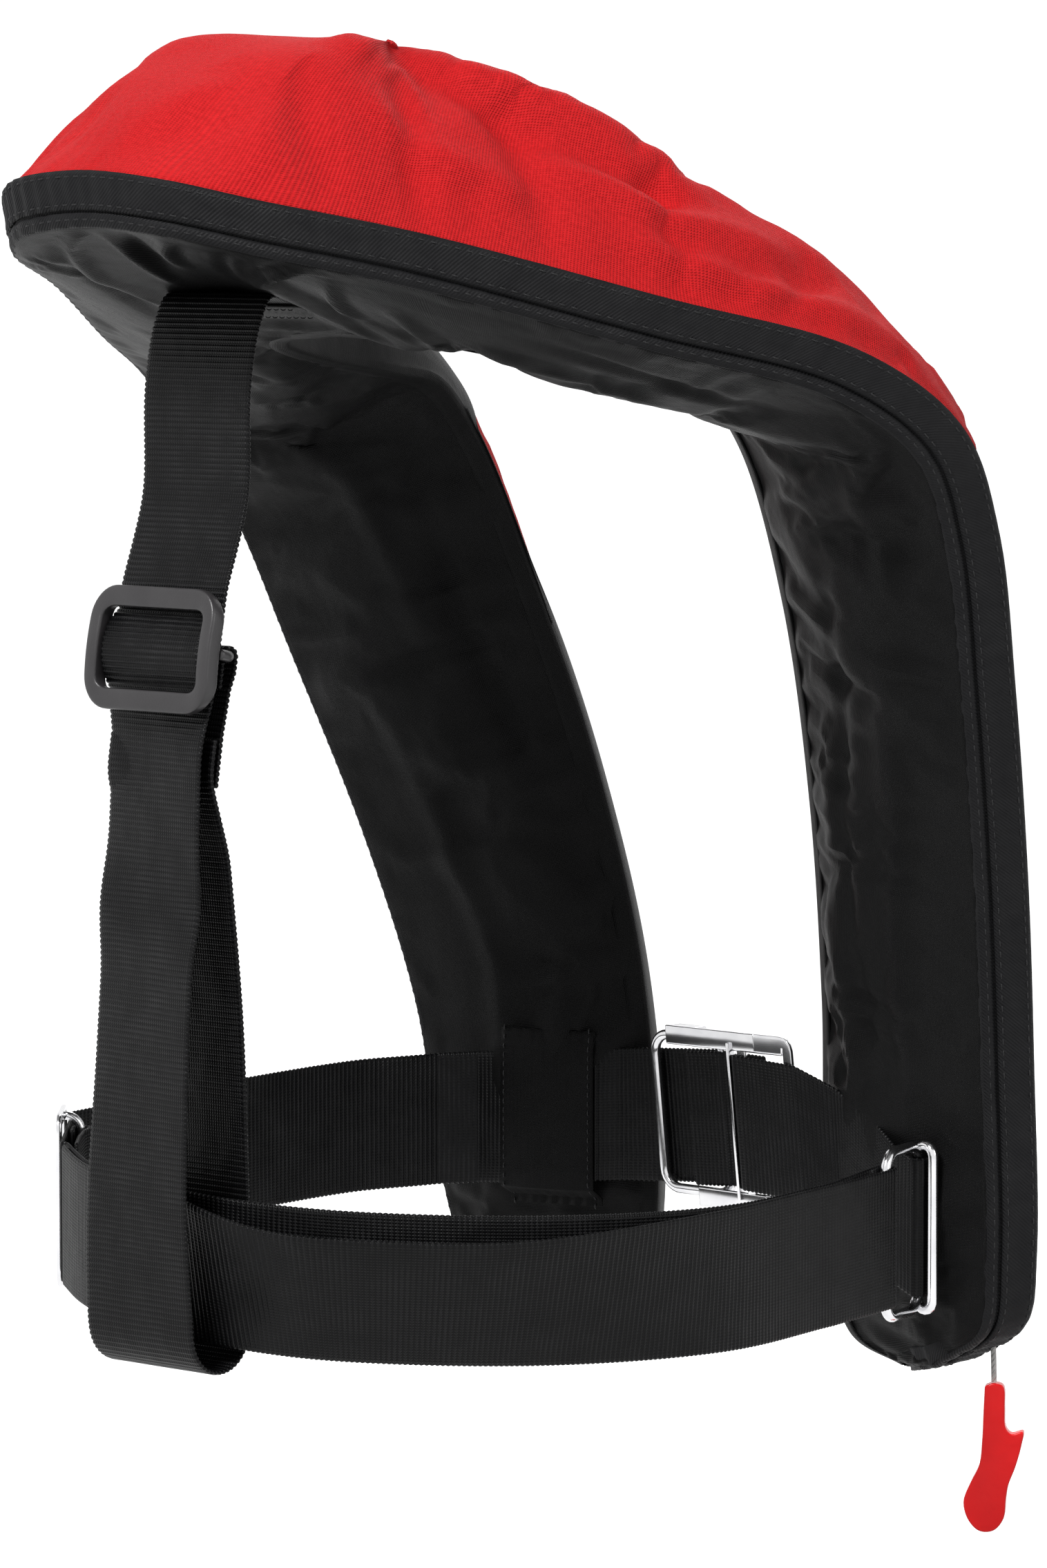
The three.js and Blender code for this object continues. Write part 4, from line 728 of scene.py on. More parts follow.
def on_strap(down, out):
    """A point beside the slider, from along the strap and out of it, as y and z."""
    return strap_slider + strap_down * down + strap_out * out


def bend(points, per_span=6):
    """A smooth line through a few points."""
    return through(points, np.linspace(0, 1, (len(points) - 1) * per_span + 1))


def turn_round(centre, radius, start, end, steps=14):
    """Part of a circle, from one angle to another."""
    a = np.linspace(start, end, steps + 1)
    return np.stack([centre[0] + radius * np.cos(a), centre[1] + radius * np.sin(a)], axis=1)


nape = sections([0.8])
BELT_TURN, BELT_LOW = 13.8, -330  # where the strap goes round the belt
under_collar = [lining_at(nape, [t], FABRIC + GAP + 0.1 + WEB_THICK / 2)[0, 0, 1:] for t in (0.68, 0.6, 0.53, 0.5)]
strap_path = np.vstack([
    under_collar,
    bend([under_collar[-1] + (2.6, -5), (62, 4), (65.5, -16), on_strap(-55, -4.5), on_strap(-38, -2.5),
          on_strap(-22, 0.6)]),
    bend([on_strap(22, 0.6), on_strap(36, -0.5), (87.5, -170), (90.5, -203), (93.5, -245), (96, -290),
          (94.5, BELT_LOW)]),
    turn_round((80.7, BELT_LOW), BELT_TURN, 0, -np.pi)[1:],
    bend([(67.5, -285), (70, -225), (76, -170)]),
    [on_strap(42, -SPACING - 0.8), on_strap(28, -SPACING - 0.8)],
])
strap_path, strap_run = evenly(strap_path, 2)
for _ in range(6):
    strap_path[1:-1] = (strap_path[:-2] + 2 * strap_path[1:-1] + strap_path[2:]) / 4
rear = np.arange(len(strap_path)) < np.argmin(strap_path[:, 1])
TWIST_AT, TWIST = (118, 130, 168, 182, 192, 206, 240, 290, 320), (0, -9, -8, -2.5, -2.5, -8, -7, -3, 0)
twist = np.interp(-strap_path[:, 1], TWIST_AT, TWIST)  # degrees, by millimetres below the nape
yaw = np.radians(np.convolve(np.pad(np.where(rear, twist, 0.0), 4, mode="edge"), np.ones(9) / 9, mode="valid"))
strap_centre = np.column_stack([np.zeros(len(strap_path)), strap_path])
strap_wide = np.column_stack([np.cos(yaw), np.sin(yaw), np.zeros(len(yaw))])
back_strap = webbing("back_strap_webbing", strap_centre, strap_wide)
dress(back_strap, black_webbing, "jacket", "webbing", "back_strap")

# A box of stitching and a cloth patch hold the strap's end under the collar.
OVER_STRAP = FABRIC + GAP + WEB_THICK
patch_top, patch_foot = (lining_at(nape, [t], OVER_STRAP + GAP + 0.7)[0, 0] * (0, 1, 1) for t in (0.72, 0.6))
patch_rise = unit(np.cross(patch_foot - patch_top, (1, 0, 0)))
patch_rise = patch_rise * np.sign(-patch_rise[2])
patch_across = np.linspace(-30, 30, 13)[None, :, None] * np.array([1.0, 0, 0])
patch_grid = patch_top + patch_across + (patch_foot - patch_top) * np.linspace(0, 1, 8)[:, None, None]
patch = surface("back_strap_patch_cloth", patch_grid, lengths(patch_grid))
thicken(patch, COVER_THICK)
dress(patch, black_nylon, "jacket", "lining_cloth", "back_strap_patch")
for name, t in [("strap_sewing_upper", 0.68), ("strap_sewing_lower", 0.6)]:
    start = lining_at(nape, [t], OVER_STRAP + 0.4)[0, 0] * (0, 1, 1) + patch_rise * 1.6
    line = start + np.linspace(-23, 23, 24)[:, None] * np.array([1.0, 0, 0])
    dress(stitches(name, line, np.tile(patch_rise, (24, 1)), 3.2, 2.3), black_thread, "jacket", "webbing")

# ---------------------------------------------------------------- back strap slider
# A black nylon moulding with a satin face: a bowed frame with thick rounded sides and a middle bar.
# The strap slides under its two ends and its sewn end goes round the middle bar.
SLIDER_STANDS = 3.6  # how far the frame stands off the strap
STAPLE_CORNER, STRAP_BAR = 3.5, 1.8


def strap_frame_point(p):
    """From along the strap, across it and out of it, to the jacket's frame."""
    p = np.asarray(p, float)
    yz = strap_slider + p[..., :1] * strap_down + p[..., 2:3] * strap_out
    return np.concatenate([-p[..., 1:2], yz], axis=-1)


def ring_line(length, width, corner, steps=10):
    """A rounded rectangle as one closed line."""
    out = []
    for cx, cy, start in [(1, 1, 0), (-1, 1, 90), (-1, -1, 180), (1, -1, 270)]:
        a = np.radians(start + np.linspace(0, 90, steps + 1))
        out.append(np.stack([cx * (length / 2 - corner) + corner * np.cos(a),
                             cy * (width / 2 - corner) + corner * np.sin(a)], 1))
    return np.vstack(out)


def refined(loop, step):
    """The same closed line with points a fixed step apart."""
    closed = np.vstack([loop, loop[:1]])
    return evenly(closed, step)[0][:-1]


round_turn = np.linspace(0, 2 * np.pi, 25)[:-1]


def slide_frame(name, to_frame, length, width, corner, end_bar, side_bar, thick, side_thick, height, bow=0.0,
                power=0.4):
    """A closed frame of rounded bars, bowed along its length; its end bars and side bars differ."""
    line = refined(ring_line(length - end_bar, width - side_bar, corner), 1.2)
    ahead = unit(np.roll(line, -1, axis=0) - np.roll(line, 1, axis=0))
    aside = np.stack([ahead[:, 1], -ahead[:, 0]], axis=1)
    on_side = np.abs(aside[:, 1]) ** 2
    cross = np.stack([np.sign(w) * np.abs(w) ** power for w in (np.cos(round_turn), np.sin(round_turn))], axis=1)
    broad = (end_bar * (1 - on_side) + side_bar * on_side) / 2
    deep = (thick * (1 - on_side) + side_thick * on_side) / 2
    rise = height + bow * (1 - (2 * line[:, 0] / length) ** 2) - (side_thick - thick) / 2 * on_side
    grid = np.stack([
        line[:, None, 0] + (aside[:, 0] * broad)[:, None] * cross[None, :, 0],
        line[:, None, 1] + (aside[:, 1] * broad)[:, None] * cross[None, :, 0],
        rise[:, None] + deep[:, None] * cross[None, :, 1],
    ], axis=-1)
    return surface(name, to_frame(grid), loop_rows=True, loop_columns=True)


def staple(name, to_frame, radius, half_width, top, drop):
    """A round bar across a slide, with both its ends turned up to the side bars."""
    corner = STAPLE_CORNER
    path = np.array([(0, -half_width, top), (0, -half_width, -drop + corner), (0, -half_width + corner, -drop),
                     (0, half_width - corner, -drop), (0, half_width, -drop + corner), (0, half_width, top)], float)
    path = evenly(path, 1.5)[0]
    for _ in range(3):
        path[1:-1] = (path[:-2] + 2 * path[1:-1] + path[2:]) / 4
    ahead = unit(np.gradient(path, axis=0))
    across = np.array([1.0, 0, 0])
    aside = np.cross(ahead, across)
    grid = path[:, None] + radius * (np.cos(round_turn)[None, :, None] * across
                                     + np.sin(round_turn)[None, :, None] * aside[:, None])
    return surface(name, to_frame(grid), loop_columns=True, caps=True)


strap_slider_frame = slide_frame("strap_slider_frame", strap_frame_point, 42, 58, 7.5, 7.2, 5.4, 3.6, 6.2,
                                 WEB_THICK / 2 + GAP + 1.6 + SLIDER_STANDS, 2.4)
satin_plastic = textured("black_satin_nylon", (0.03, 0.028, 0.03), 0.36, (0.026, 0.024, 0.026), (0.035, 0.033, 0.035),
                         ("noise", 0.012), (0.00006, "noise", 0.0007, 3.0), (0.0004, "noise", 0.015),
                         Specular_IOR_Level=0.5)
dress(strap_slider_frame, satin_plastic, "back_slider", "black_plastic", "back_strap_slider")
bar_drop = WEB_THICK + 2 * GAP + WEB_THICK / 2 + STRAP_BAR + 0.3
middle_bar = staple("strap_slider_middle_bar", strap_frame_point, 1.9, 27, 3.5, bar_drop)
dress(middle_bar, satin_plastic, "back_slider", "black_plastic")

# The webbing that stands up between the slider's bars, and the sewn end round the middle bar.
rise = np.linspace(-13.2, 13.2, 30)
hump = np.stack([rise, np.zeros(30), 1.2 + 7.4 * np.cos(rise / 13.6 * np.pi / 2) ** 0.7], axis=1)
hump_line = strap_frame_point(hump)
hump_web = webbing("strap_slider_webbing_hump", hump_line, np.tile([1.0, 0, 0], (30, 1)), width=46.4)
dress(hump_web, black_webbing, "back_slider", "webbing")


def sewn_end(radius, drop, arm, tail):
    """Webbing turned round a slide's middle bar and sewn back on itself, as along and out of the strap."""
    turn = radius + GAP + WEB_THICK / 2 + 0.1
    return np.vstack([[(arm, -drop + turn)], turn_round((0, -drop), turn, np.pi / 2, 1.5 * np.pi),
                      [(turn + 2, -drop - turn), (arm, -drop - turn + 1.5), (tail, -2 * SPACING - 1.6),
                       (tail + 18, -2 * SPACING - 1.8)]])


end_path = sewn_end(STRAP_BAR, bar_drop, 11, 26)
end_line = strap_frame_point(np.column_stack([end_path[:, 0], np.zeros(len(end_path)), end_path[:, 1]]))
strap_end = webbing("back_strap_sewn_end", end_line, np.tile([1.0, 0, 0], (len(end_line), 1)))
dress(strap_end, black_webbing, "back_slider", "webbing", "back_strap_end")

# ---------------------------------------------------------------- waist belt
# One length of the same webbing. It is sewn round the buckle ring, crosses the left lobe through its
# keeper, runs through the steel slider, round the back, round the ring on the right lobe and back.
FRONT_RISE, BUCKLE_RISE, BACK, BELT_HEIGHT, BELT_SLOPE = 13, 7, 79, -308, 0.07
LEFT_LOBE = 106
WIRE = 3.8
RING_INSIDE = WEB + 3
WRAP = WIRE / 2 + GAP + WEB_THICK / 2 + 0.35
buckle_right, buckle_left = np.array([-3.0, -207]), np.array([30.0, -207])
ring_held, ring_pulled = np.array([-106.0, -190]), np.array([-113.0, -163])


def belt_height(x, y):
    """How high the belt's middle runs: it rises to the front on the left, and to the buckle."""
    front = (y < -150) & (x > -20)
    forward = np.clip((BACK - y) / (BACK - buckle_left[1]), 0, 1)
    ahead = np.clip((-y - 150) / 50, 0, 1)
    left = BELT_HEIGHT + FRONT_RISE * forward + BUCKLE_RISE * eased(ahead) * (1 - x / LEFT_LOBE)
    return np.where((x <= 0) & ~front, BELT_HEIGHT + BELT_SLOPE * x, left)


lobe_places = np.concatenate([np.linspace(-LAST, -6, 57), np.linspace(6, LAST, 57)])
lobe_faces = lining_at(sections(lobe_places), np.linspace(0, 1, 21), FABRIC).reshape(-1, 3)


def over_lobe(x, height, layers=0.0, reach=WEB / 2 + 5):
    """Where webbing lies on the lining of a lobe, as x and y."""
    near = lobe_faces[(np.abs(lobe_faces[:, 0] - x) < 6) & (np.abs(lobe_faces[:, 2] - height) < reach)]
    return np.array([x, near[:, 1].max() + GAP + WEB_THICK / 2 + layers * SPACING])


belt_slider = np.array([120.0, 11.0])
belt_back = unit([-0.669, 0.743])
belt_out = np.array([belt_back[1], -belt_back[0]])


def on_belt(back, out):
    """A point beside the belt's slider, from along the belt and out of it, as x and y."""
    return belt_slider + belt_back * back + belt_out * out


def beside(points, off):
    """The same line moved sideways."""
    ahead = unit(np.gradient(points, axis=0))
    return points + np.stack([ahead[:, 1], -ahead[:, 0]], axis=1) * off


near_end = (-122, -122)
doubled = bend([on_belt(34, -SPACING / 2), (62, 59), (32, 73), (0, BACK), (-30, 75), (-62, 58), (-105, 6),
                (-127, -58), near_end], 8)
pull_angle = math.atan2(*(ring_pulled - near_end)[::-1])
left_height = float(belt_height(np.array(LEFT_LOBE), np.array(buckle_left[1])))
across_left = np.array([over_lobe(x, left_height) for x in (50, 58, 70, 82, 94, LEFT_LOBE)])
front_run = np.vstack([
    [(buckle_right[0] + 15, buckle_right[1] + WRAP)], turn_round(buckle_right, WRAP, np.pi / 2, 1.5 * np.pi),
    [(buckle_left[0], buckle_left[1] - WRAP)], across_left,
    bend([(119, -182), (133, -148), (140, -95), (141, -50), on_belt(-32, 0)], 6), [on_belt(32, 0)]])
inner_run = beside(doubled, -SPACING / 2)
ring_turn = turn_round(ring_pulled, WRAP, pull_angle + np.pi / 2, pull_angle - np.pi / 2)[1:]
outer_run = beside(doubled, SPACING / 2)[::-1][:-1]


BELT_LEANS = np.radians(26)


def belt_part(path, droop):
    """Webbing seen from above. droop goes from 0 to 1 where the belt sags and leans out at its top."""
    lean = BELT_LEANS * droop
    away = beside(path, -1.0) - path
    height = belt_height(path[:, 0], path[:, 1])
    centre = np.column_stack([path + away * (WEB / 2 * np.sin(lean))[:, None],
                              height - WEB / 2 * (1 - np.cos(lean)) - 0.8 * droop])
    wide = np.column_stack([away * np.sin(lean)[:, None], np.cos(lean)])
    return centre, wide


share = np.linspace(1, 0, len(outer_run))
droop = eased(np.clip((share - 0.30) / 0.3, 0, 1) * np.clip((0.93 - share) / 0.25, 0, 1))
runs = [belt_part(run, np.zeros(len(run))) for run in (front_run, inner_run, ring_turn)] + [belt_part(outer_run, droop)]
belt_centre, belt_wide = np.vstack([r[0] for r in runs]), np.vstack([r[1] for r in runs])
BUCKLE_TILT = 0.11  # the buckle hangs a little askew: sideways for each millimetre of height
near_buckle = (belt_centre[:, 1] < -150) & (belt_centre[:, 0] > -25)
askew = BUCKLE_TILT * np.clip((50 - belt_centre[:, 0]) / 16, 0, 1) * near_buckle
belt_wide = belt_wide + askew[:, None] * np.array([1.0, 0, 0])
waist_belt = webbing("waist_belt_webbing", belt_centre, belt_wide)
dress(waist_belt, black_webbing, "jacket", "webbing", "waist_belt")


# Two rows of stitching across the belt, where it is sewn back on itself beside the buckle ring.
sewn_place = np.array([(x, over_lobe(x, left_height)[1] if x > 48 else -209.9) for x in (36, 38, 40, 42, 44, 46)])
sewn_centre, sewn_wide = belt_part(sewn_place, np.zeros(len(sewn_place)))
sewn_face = unit(np.cross(np.gradient(sewn_centre, axis=0), sewn_wide))
for number, i in enumerate((1, 4)):
    face = sewn_face[i] if sewn_face[i][1] > 0 else -sewn_face[i]
    line = sewn_centre[i] + sewn_wide[i] * np.linspace(-22, 22, 20)[:, None] + face
    row = stitches(f"belt_sewing_{number}", line, np.tile(face, (20, 1)), 3.0, 2.2)
    dress(row, black_thread, "jacket", "webbing")

# ---------------------------------------------------------------- belt slider
# A stamped and polished steel slide at the left of the back, with a round middle bar. The belt's
# sewn end goes round the middle bar.
polished_steel = textured("polished_stainless", (0.72, 0.72, 0.74), 0.16, (0.66, 0.66, 0.68), (0.78, 0.78, 0.79),
                          ("noise", 0.01), (0.00012, "noise", 0.02), metallic=1.0)
BELT_BAR = 1.6


def belt_frame_point(p):
    """From along the belt, up it and out of it, to the jacket's frame."""
    p = np.asarray(p, float)
    xy = belt_slider + p[..., :1] * belt_back + p[..., 2:3] * belt_out
    height = float(belt_height(np.array(belt_slider[0]), np.array(belt_slider[1])))
    return np.concatenate([xy, p[..., 1:2] + height], axis=-1)


belt_slide = slide_frame("belt_slide_frame", belt_frame_point, 34, 62, 3, 5, 4.5, 2, 2, WEB_THICK / 2 + GAP + 1)
dress(belt_slide, polished_steel, "belt_slider", "polished_steel", "waist_belt_slider")
belt_end_drop = WEB_THICK + 2 * GAP + WEB_THICK / 2 + BELT_BAR + 0.3
belt_bar = staple("belt_slide_middle_bar", belt_frame_point, BELT_BAR, 28.8, 1.5, belt_end_drop)
dress(belt_bar, polished_steel, "belt_slider", "polished_steel")
end_path = sewn_end(BELT_BAR, belt_end_drop, 10, 24)
end_line = belt_frame_point(np.column_stack([end_path[:, 0], np.zeros(len(end_path)), end_path[:, 1]]))
belt_end = webbing("waist_belt_sewn_end", end_line, np.tile([0, 0, 1.0], (len(end_line), 1)))
dress(belt_end, black_webbing, "belt_slider", "webbing", "waist_belt_end")

# ---------------------------------------------------------------- belt keeper
# A sleeve of the lining cloth, sewn to the left lobe above and below the belt, which runs through it.
KEEPER_COLUMNS, KEEPER_EDGE, KEEPER_FLARE = 24, 26.5, 3.5
keeper_web = through(across_left[1:5], np.linspace(0, 1, KEEPER_COLUMNS))
keeper_rows = np.array([-33, -30, -28.6, -27.5, -26.5, -20, -10, 0, 10, 20, 26.5, 27.5, 28.6, 30, 33.0])
keeper_high = left_height + 1.4
keeper_grid = np.zeros((KEEPER_COLUMNS, len(keeper_rows), 3))
for i, (x, y) in enumerate(keeper_web):
    for j, dz in enumerate(keeper_rows):
        over = y + WEB_THICK / 2 + GAP + 0.7
        beside_y = over_lobe(x, keeper_high + dz, 0, 9)[1] - WEB_THICK / 2 + 0.8
        share_down = np.clip((abs(dz) - KEEPER_EDGE) / KEEPER_FLARE, 0, 1)
        ripple = 0.5 * math.sin(i / 3.1) * (1 - abs(dz) / 40)
        keeper_grid[i, j] = (x, over + (min(beside_y, over) - over) * share_down + ripple, keeper_high + dz)
keeper = surface("belt_keeper_sleeve", keeper_grid, lengths(keeper_grid))
thicken(keeper, EDGE_THICK)
dress(keeper, black_nylon, "jacket", "lining_cloth", "belt_keeper")
for number, i in enumerate((1, 22)):
    line = keeper_grid[i] + (0, 0.6, 0)
    row = stitches(f"keeper_thread_{number}", line, np.tile([0, 1.0, 0], (len(line), 1)), 3.4, 2.4)
    dress(row, black_thread, "jacket", "lining_cloth")

# ---------------------------------------------------------------- steel rings
# Two rings bent from 3.8 mm stainless wire and welded shut: one in the buckle end of the belt
# and one on the right lobe, where the belt and the short front strap meet.
def wire_ring(name, a, b, high, z, corner=7, askew=0.0):
    """A rounded rectangle of wire between two upright legs, seen from above at a and b."""
    span = b - a
    loop = refined(ring_line(np.linalg.norm(span), high, corner), 1.5)
    ahead = unit(np.roll(loop, -1, axis=0) - np.roll(loop, 1, axis=0))
    side = np.stack([ahead[:, 1], -ahead[:, 0]], axis=1)
    turn = np.linspace(0, 2 * np.pi, 17)[:-1]
    flat = loop[:, None] + side[:, None] * (np.cos(turn) * WIRE / 2)[None, :, None]
    lift = np.broadcast_to((np.sin(turn) * WIRE / 2)[None, :], flat.shape[:2])
    way = span / np.linalg.norm(span)
    middle = (a + b) / 2
    x = middle[0] + flat[..., 0] * way[0] - lift * way[1] + askew * flat[..., 1]
    y = middle[1] + flat[..., 0] * way[1] + lift * way[0]
    return surface(name, np.stack([x, y, z + flat[..., 1]], axis=-1), loop_rows=True, loop_columns=True)


buckle_z = float(belt_height(buckle_right[0:1], buckle_right[1:2])[0])
ring_z = float(belt_height(ring_pulled[0:1], ring_pulled[1:2])[0])
buckle_wire = wire_ring("buckle_ring_wire", buckle_right, buckle_left, RING_INSIDE + WIRE, buckle_z,
                        askew=BUCKLE_TILT)
dress(buckle_wire, polished_steel, "jacket", "polished_steel", "buckle_ring")
belt_wire = wire_ring("belt_ring_wire", ring_held, ring_pulled, RING_INSIDE + WIRE + 2, ring_z)
dress(belt_wire, polished_steel, "jacket", "polished_steel", "belt_ring")
side_bar = wire_ring("belt_ring_side_bar", ring_held, ring_held + (-7.2, 0.6), RING_INSIDE + WIRE + 2, ring_z, 3.4)
dress(side_bar, polished_steel, "jacket", "polished_steel")

# ---------------------------------------------------------------- hook plate
# The other half of the buckle: a stamped stainless plate whose two arms hook over and under the ring.
PLATE_THICK, PLATE_MIDDLE, PLATE_END, PLATE_BAR, PLATE_BAND = 1.8, -15, -41, 4, 7
PLATE_Y = buckle_right[1] + 5.6
RING_REACH = RING_INSIDE / 2 + WIRE
PLATE_HIGH = 2 * RING_REACH + 5


def plate_point(p):
    """From along the plate, up it and out of it, to the jacket's frame, hanging a little askew."""
    p = np.asarray(p, float)
    x = (PLATE_MIDDLE + PLATE_END) / 2 + p[..., :1] + BUCKLE_TILT * p[..., 1:2]
    return np.concatenate([x, PLATE_Y + p[..., 2:3], buckle_z + p[..., 1:2]], axis=-1)


def plate_part(name, x, z, y, bevel):
    """A flat stamped arm or a hook of it: from and to along the plate, up it and out of it."""
    part = rounded(name, [(x[0], z[0]), (x[1], z[0]), (x[1], z[1]), (x[0], z[1])], y[1] - y[0], bevel, 3)
    skew = Matrix(((1, 0, BUCKLE_TILT, 0), (0, 1, 0, 0), (0, 0, 1, 0), (0, 0, 0, 1)))
    part.data.transform(Matrix.Translation((0, (PLATE_Y + (y[0] + y[1]) / 2) * MM, buckle_z * MM)) @ skew)
    return part


half_plate, half_high = PLATE_THICK / 2, PLATE_HIGH / 2
hook_high = RING_REACH + GAP + 0.2
ARM_DEPTH, HOOK_DEPTH = (-half_plate, half_plate + 0.1), (-8.1, half_plate)
plate_pieces = [slide_frame("hook_plate_frame", plate_point, PLATE_MIDDLE - PLATE_END, PLATE_HIGH, 2, PLATE_BAR, PLATE_BAND,
                            PLATE_THICK, PLATE_THICK, 0, power=0.3)]
for name, x, z, y, bevel in [
    ("hook_plate_upper_arm", (-24, 19), (half_high - PLATE_BAND, half_high), ARM_DEPTH, 0.7),
    ("hook_plate_lower_arm", (-24, 9), (-half_high, PLATE_BAND - half_high), ARM_DEPTH, 0.7),
    ("hook_plate_upper_hook", (6, 19), (hook_high, hook_high + PLATE_THICK), HOOK_DEPTH, 0.6),
    ("hook_plate_lower_hook", (-2, 9), (-hook_high - PLATE_THICK, -hook_high), HOOK_DEPTH, 0.6),
    ("hook_plate_lip", (-12.6, -11.2), (4 - half_high, half_high - 4), (-half_plate, half_plate + 1.6), 0.4),
]:
    plate_pieces.append(plate_part(name, x, z, y, bevel))
for number, piece in enumerate(plate_pieces):
    dress(piece, polished_steel, "hook_plate", "polished_steel", *(["buckle_hook_plate"] if number == 0 else []))

# ---------------------------------------------------------------- front strap
# A short piece of webbing sewn round the plate's middle bar and round the ring on the right lobe.
bar_centre = np.array([PLATE_MIDDLE - PLATE_BAR / 2, PLATE_Y])
bar_half = PLATE_THICK / 2 + GAP + WEB_THICK / 2
bar_wrap = math.hypot(PLATE_BAR / 2, PLATE_THICK / 2) + GAP + WEB_THICK / 2


def front_height(x):
    """The front strap's height, from the buckle's to the ring's."""
    part = np.clip((PLATE_END - x) / (PLATE_END - ring_held[0]), 0, 1)
    return buckle_z + (ring_z - buckle_z) * part


front_path = np.vstack([
    [(bar_centre[0] - 9, bar_centre[1] - bar_half - 0.2)], turn_round(bar_centre, bar_wrap, 1.5 * np.pi, 2.5 * np.pi),
    [(PLATE_END - 3, bar_centre[1] + bar_wrap)],
    [over_lobe(x, float(front_height(np.array(x))), 0.4) for x in (-60, -72, -84)],
    [(ring_held[0] + 8, ring_held[1] + WRAP - 0.4)], turn_round(ring_held, WRAP, np.pi / 2, 1.5 * np.pi),
    [(ring_held[0] + 12, ring_held[1] - WRAP)]])
front_centre = np.column_stack([front_path, front_height(front_path[:, 0])])
front_wide = np.tile([0, 0, 1.0], (len(front_centre), 1))
front_wide[:, 0] = BUCKLE_TILT * np.clip((front_path[:, 0] + 78) / 25, 0, 1)
front_strap = webbing("front_strap_webbing", front_centre, front_wide)
dress(front_strap, black_webbing, "jacket", "webbing", "front_strap")

# ---------------------------------------------------------------- bladder
# The coated yellow nylon bag, folded behind the neck and down both lobes under the cover.
bag_sections = sections(np.linspace(-LAST + 1.6, LAST - 1.6, 260))
bag_t = np.linspace(0.2, 0.8, 9)
bag_share = np.minimum(1, np.interp(bag_sections["half"], np.arange(LAST + 1), COLLAR_SHARE))[:, None, None]
bag_out = bag_sections["out"][:, None]
LOBE_INSET, COLLAR_INSET = 6, 12  # how far the bag lies under the cover
bag_top = (cover_at(bag_sections, bag_t, LOBE_INSET) * (1 - bag_share)
           + cover_at(bag_sections, bag_t, COLLAR_INSET) * bag_share)
bag_low = lining_at(bag_sections, bag_t, 0) + (4 + 6 * bag_share) * bag_out
bag_gap = ((bag_top - bag_low) * bag_out).sum(axis=-1, keepdims=True)
bag_low = (bag_low - np.maximum(0, 1 - bag_gap) * bag_out)[:, ::-1]
bladder = surface("bladder_folded", np.concatenate([bag_top, bag_low], axis=1), loop_columns=True, caps=True)
yellow_cloth = textured("yellow_coated_nylon", (0.75, 0.52, 0.03), 0.5, (0.68, 0.46, 0.02), (0.80, 0.57, 0.05),
                        ("noise", 0.02, 3.0), (0.002, "noise", 0.015, 4.0), Sheen_Weight=0.1)
dress(bladder, yellow_cloth, "jacket", "bladder_cloth", "bladder")

# ---------------------------------------------------------------- inflator, oral tube and whistle
# They lie under the cover: the firing body with its lever, pin and gas cylinder in the right lobe,
# and the oral tube with its valve, cap and whistle in the left. They are moulded, turned or drawn parts.
def softened(source, name, width):
    """A copy of a hard solid with its sharp edges broken, as a real stamping or moulding has them."""
    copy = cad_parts[source].copy()
    copy.data = copy.data.copy()
    copy.name = name
    for key in [k for k in copy.keys() if k.startswith("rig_")]:
        del copy[key]
    copy.parent = None
    copy.hide_render = copy.hide_viewport = False
    scene.collection.objects.link(copy)
    work = bmesh.new()
    work.from_mesh(copy.data)
    bmesh.ops.remove_doubles(work, verts=work.verts, dist=2e-5)
    bmesh.ops.dissolve_limit(work, angle_limit=math.radians(1), verts=work.verts, edges=work.edges)
    work.to_mesh(copy.data)
    work.free()
    if copy.data.has_custom_normals:
        with bpy.context.temp_override(object=copy, active_object=copy, selected_objects=[copy]):
            bpy.ops.mesh.customdata_custom_splitnormals_clear()
    if width:
        soften = copy.modifiers.new("broken_edges", "BEVEL")
        soften.width = width * MM
        soften.segments = 2
        soften.limit_method = "ANGLE"
        soften.angle_limit = math.radians(35)
        soften.harden_normals = False
    copy.data.shade_smooth()
    sharp = copy.modifiers.new("weighted", "WEIGHTED_NORMAL")
    sharp.keep_sharp = True
    return copy


def moulded(name, color, light, roughness):
    """Plastic or rubber with the fine grain of its mould."""
    return textured(name, color, roughness, color, light, ("noise", 0.01), (0.00008, "noise", 0.0008, 3.0))


def turned(name, color, light, roughness):
    """Metal with the fine rings of a lathe or a die."""
    return textured(name, color, roughness, color, light, ("noise", 0.006), (0.00003, "Z", 0.0006), metallic=1.0)


black_moulding = moulded("black_moulding", (0.018, 0.018, 0.019), (0.026, 0.026, 0.028), 0.5)
grey_moulding = moulded("grey_moulding", (0.42, 0.44, 0.46), (0.50, 0.52, 0.54), 0.45)
pale_moulding = moulded("pale_moulding", (0.66, 0.64, 0.58), (0.74, 0.72, 0.66), 0.5)
green_moulding = moulded("green_moulding", (0.02, 0.22, 0.06), (0.03, 0.30, 0.09), 0.45)
orange_moulding = moulded("orange_moulding", (0.72, 0.14, 0.03), (0.80, 0.19, 0.05), 0.35)
cap_moulding = moulded("red_cap_moulding", (0.52, 0.02, 0.02), (0.60, 0.03, 0.03), 0.4)
tube_rubber = moulded("black_tube_rubber", (0.014, 0.014, 0.015), (0.022, 0.022, 0.024), 0.7)
turned_brass = turned("turned_brass", (0.62, 0.45, 0.18), (0.70, 0.52, 0.24), 0.3)
drawn_steel = turned("drawn_steel", (0.52, 0.53, 0.55), (0.62, 0.63, 0.65), 0.34)
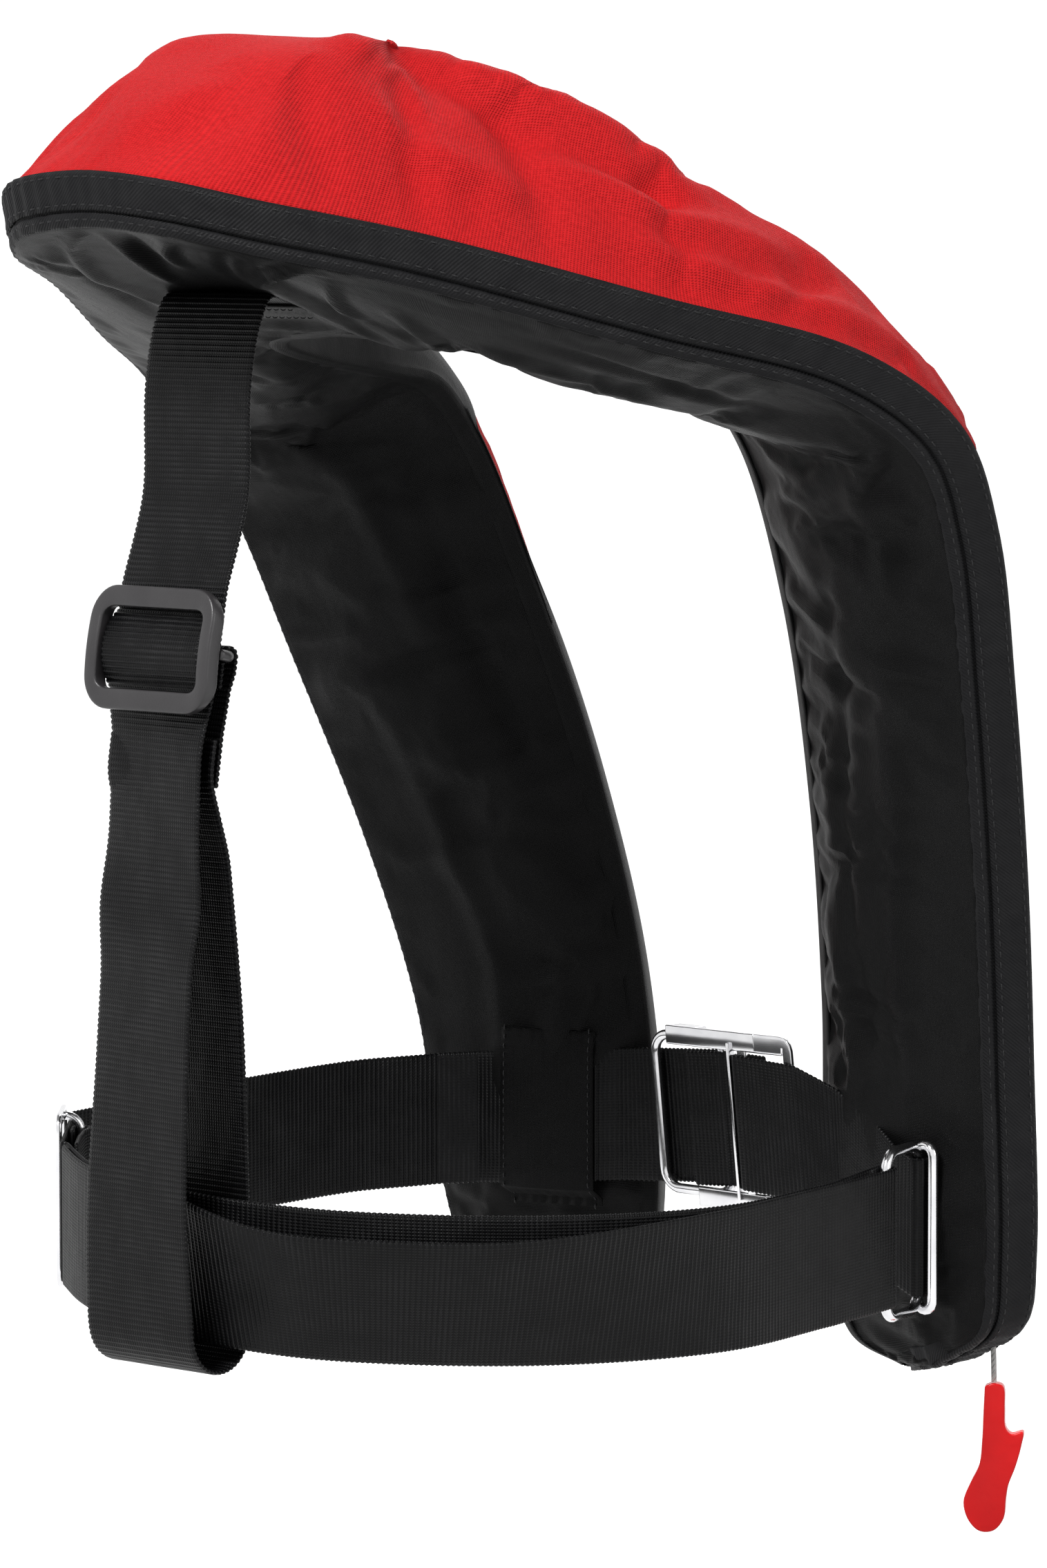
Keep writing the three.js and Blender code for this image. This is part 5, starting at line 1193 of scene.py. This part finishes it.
for source, made, body, slot, width in [
    ("inflator_body", black_moulding, "jacket", "black_plastic", 0.6),
    ("lever_pivot_pin", polished_steel, "jacket", "polished_steel", 0.2),
    ("firing_lever", grey_moulding, "lever", "grey_plastic", 0.4),
    ("firing_pin", turned_brass, "pin", "brass_metal", 0.15),
    ("pin_spring", drawn_steel, "jacket", "spring_steel", 0),
    ("gas_cylinder", drawn_steel, "jacket", "cylinder_steel", 0),
    ("bladder_manifold", black_moulding, "jacket", "black_plastic", 0.3),
    ("manifold_nut", black_moulding, "jacket", "black_plastic", 0.3),
    ("water_cartridge", pale_moulding, "jacket", "pale_plastic", 0.4),
    ("cartridge_cap", green_moulding, "jacket", "green_plastic", 0.3),
    ("status_clip", green_moulding, "jacket", "green_plastic", 0.4),
    ("oral_tube", tube_rubber, "jacket", "tube_rubber", 0.3),
    ("oral_valve", pale_moulding, "valve", "pale_plastic", 0.3),
    ("oral_cap", cap_moulding, "cap", "red_plastic", 0.3),
    ("whistle", orange_moulding, "jacket", "orange_plastic", 0.5),
]:
    if width:
        dress(softened(source, source + "_finished", width), made, body, slot, source)
    else:
        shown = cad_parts[source]
        shown.data.materials.clear()
        shown.data.materials.append(made)

# ---------------------------------------------------------------- studio
# A white floor that curves up into a round white wall, a large soft light over the camera's
# left shoulder, a weaker one on the right and one behind the jacket.
lowest = cad_box[0][2]
turns = np.linspace(0, 2 * np.pi, 97)[:-1]
FLOOR_RADIUS, FLOOR_CURVE, FLOOR_DROP = 3.6, 1.6, 0.03
curve = [(0.001, 0.0), (1.0, 0.0), (FLOOR_RADIUS, 0.0)]
curve += [(FLOOR_RADIUS + FLOOR_CURVE * math.sin(a), FLOOR_CURVE - FLOOR_CURVE * math.cos(a))
          for a in np.linspace(0.1, math.pi / 2, 14)]
curve += [(5.2, 3.0), (5.2, 5.0)]
floor = lowest - FLOOR_DROP
bowl = np.array([[(r * math.cos(a), r * math.sin(a), h + floor) for a in turns] for r, h in curve]) / MM
backdrop = surface("studio_backdrop", bowl, loop_columns=True)
white_paint = finish("studio_white", (0.35, 0.35, 0.35), 0.9, Emission_Color=(1, 1, 1, 1), Emission_Strength=0.93)
backdrop.data.materials.append(white_paint)
backdrop.visible_diffuse = False
world = bpy.data.worlds.new("studio_air")
world.use_nodes = True
world.node_tree.nodes["Background"].inputs["Color"].default_value = (1, 1, 1, 1)
world.node_tree.nodes["Background"].inputs["Strength"].default_value = 0.27
scene.world = world


def soft_light(name, azimuth, elevation, distance, size, power):
    """A square soft light; azimuth is turned from the camera's side."""
    data = bpy.data.lights.new(name, "AREA")
    data.size = size
    data.energy = power
    lamp = bpy.data.objects.new(name, data)
    base = math.atan2(TOWARDS_CAMERA.y, TOWARDS_CAMERA.x) + math.radians(azimuth)
    up = math.radians(elevation)
    direction = Vector((math.cos(base) * math.cos(up), math.sin(base) * math.cos(up), math.sin(up)))
    lamp.location = AIM + direction * distance
    lamp.rotation_euler = (-direction).to_track_quat("-Z", "Y").to_euler()
    scene.collection.objects.link(lamp)


soft_light("key_light", -32, 46, 2.2, 0.5, 42)
soft_light("fill_light", 55, 20, 2.6, 1.0, 12)
soft_light("rim_light", 165, 45, 2.4, 1.2, 14)
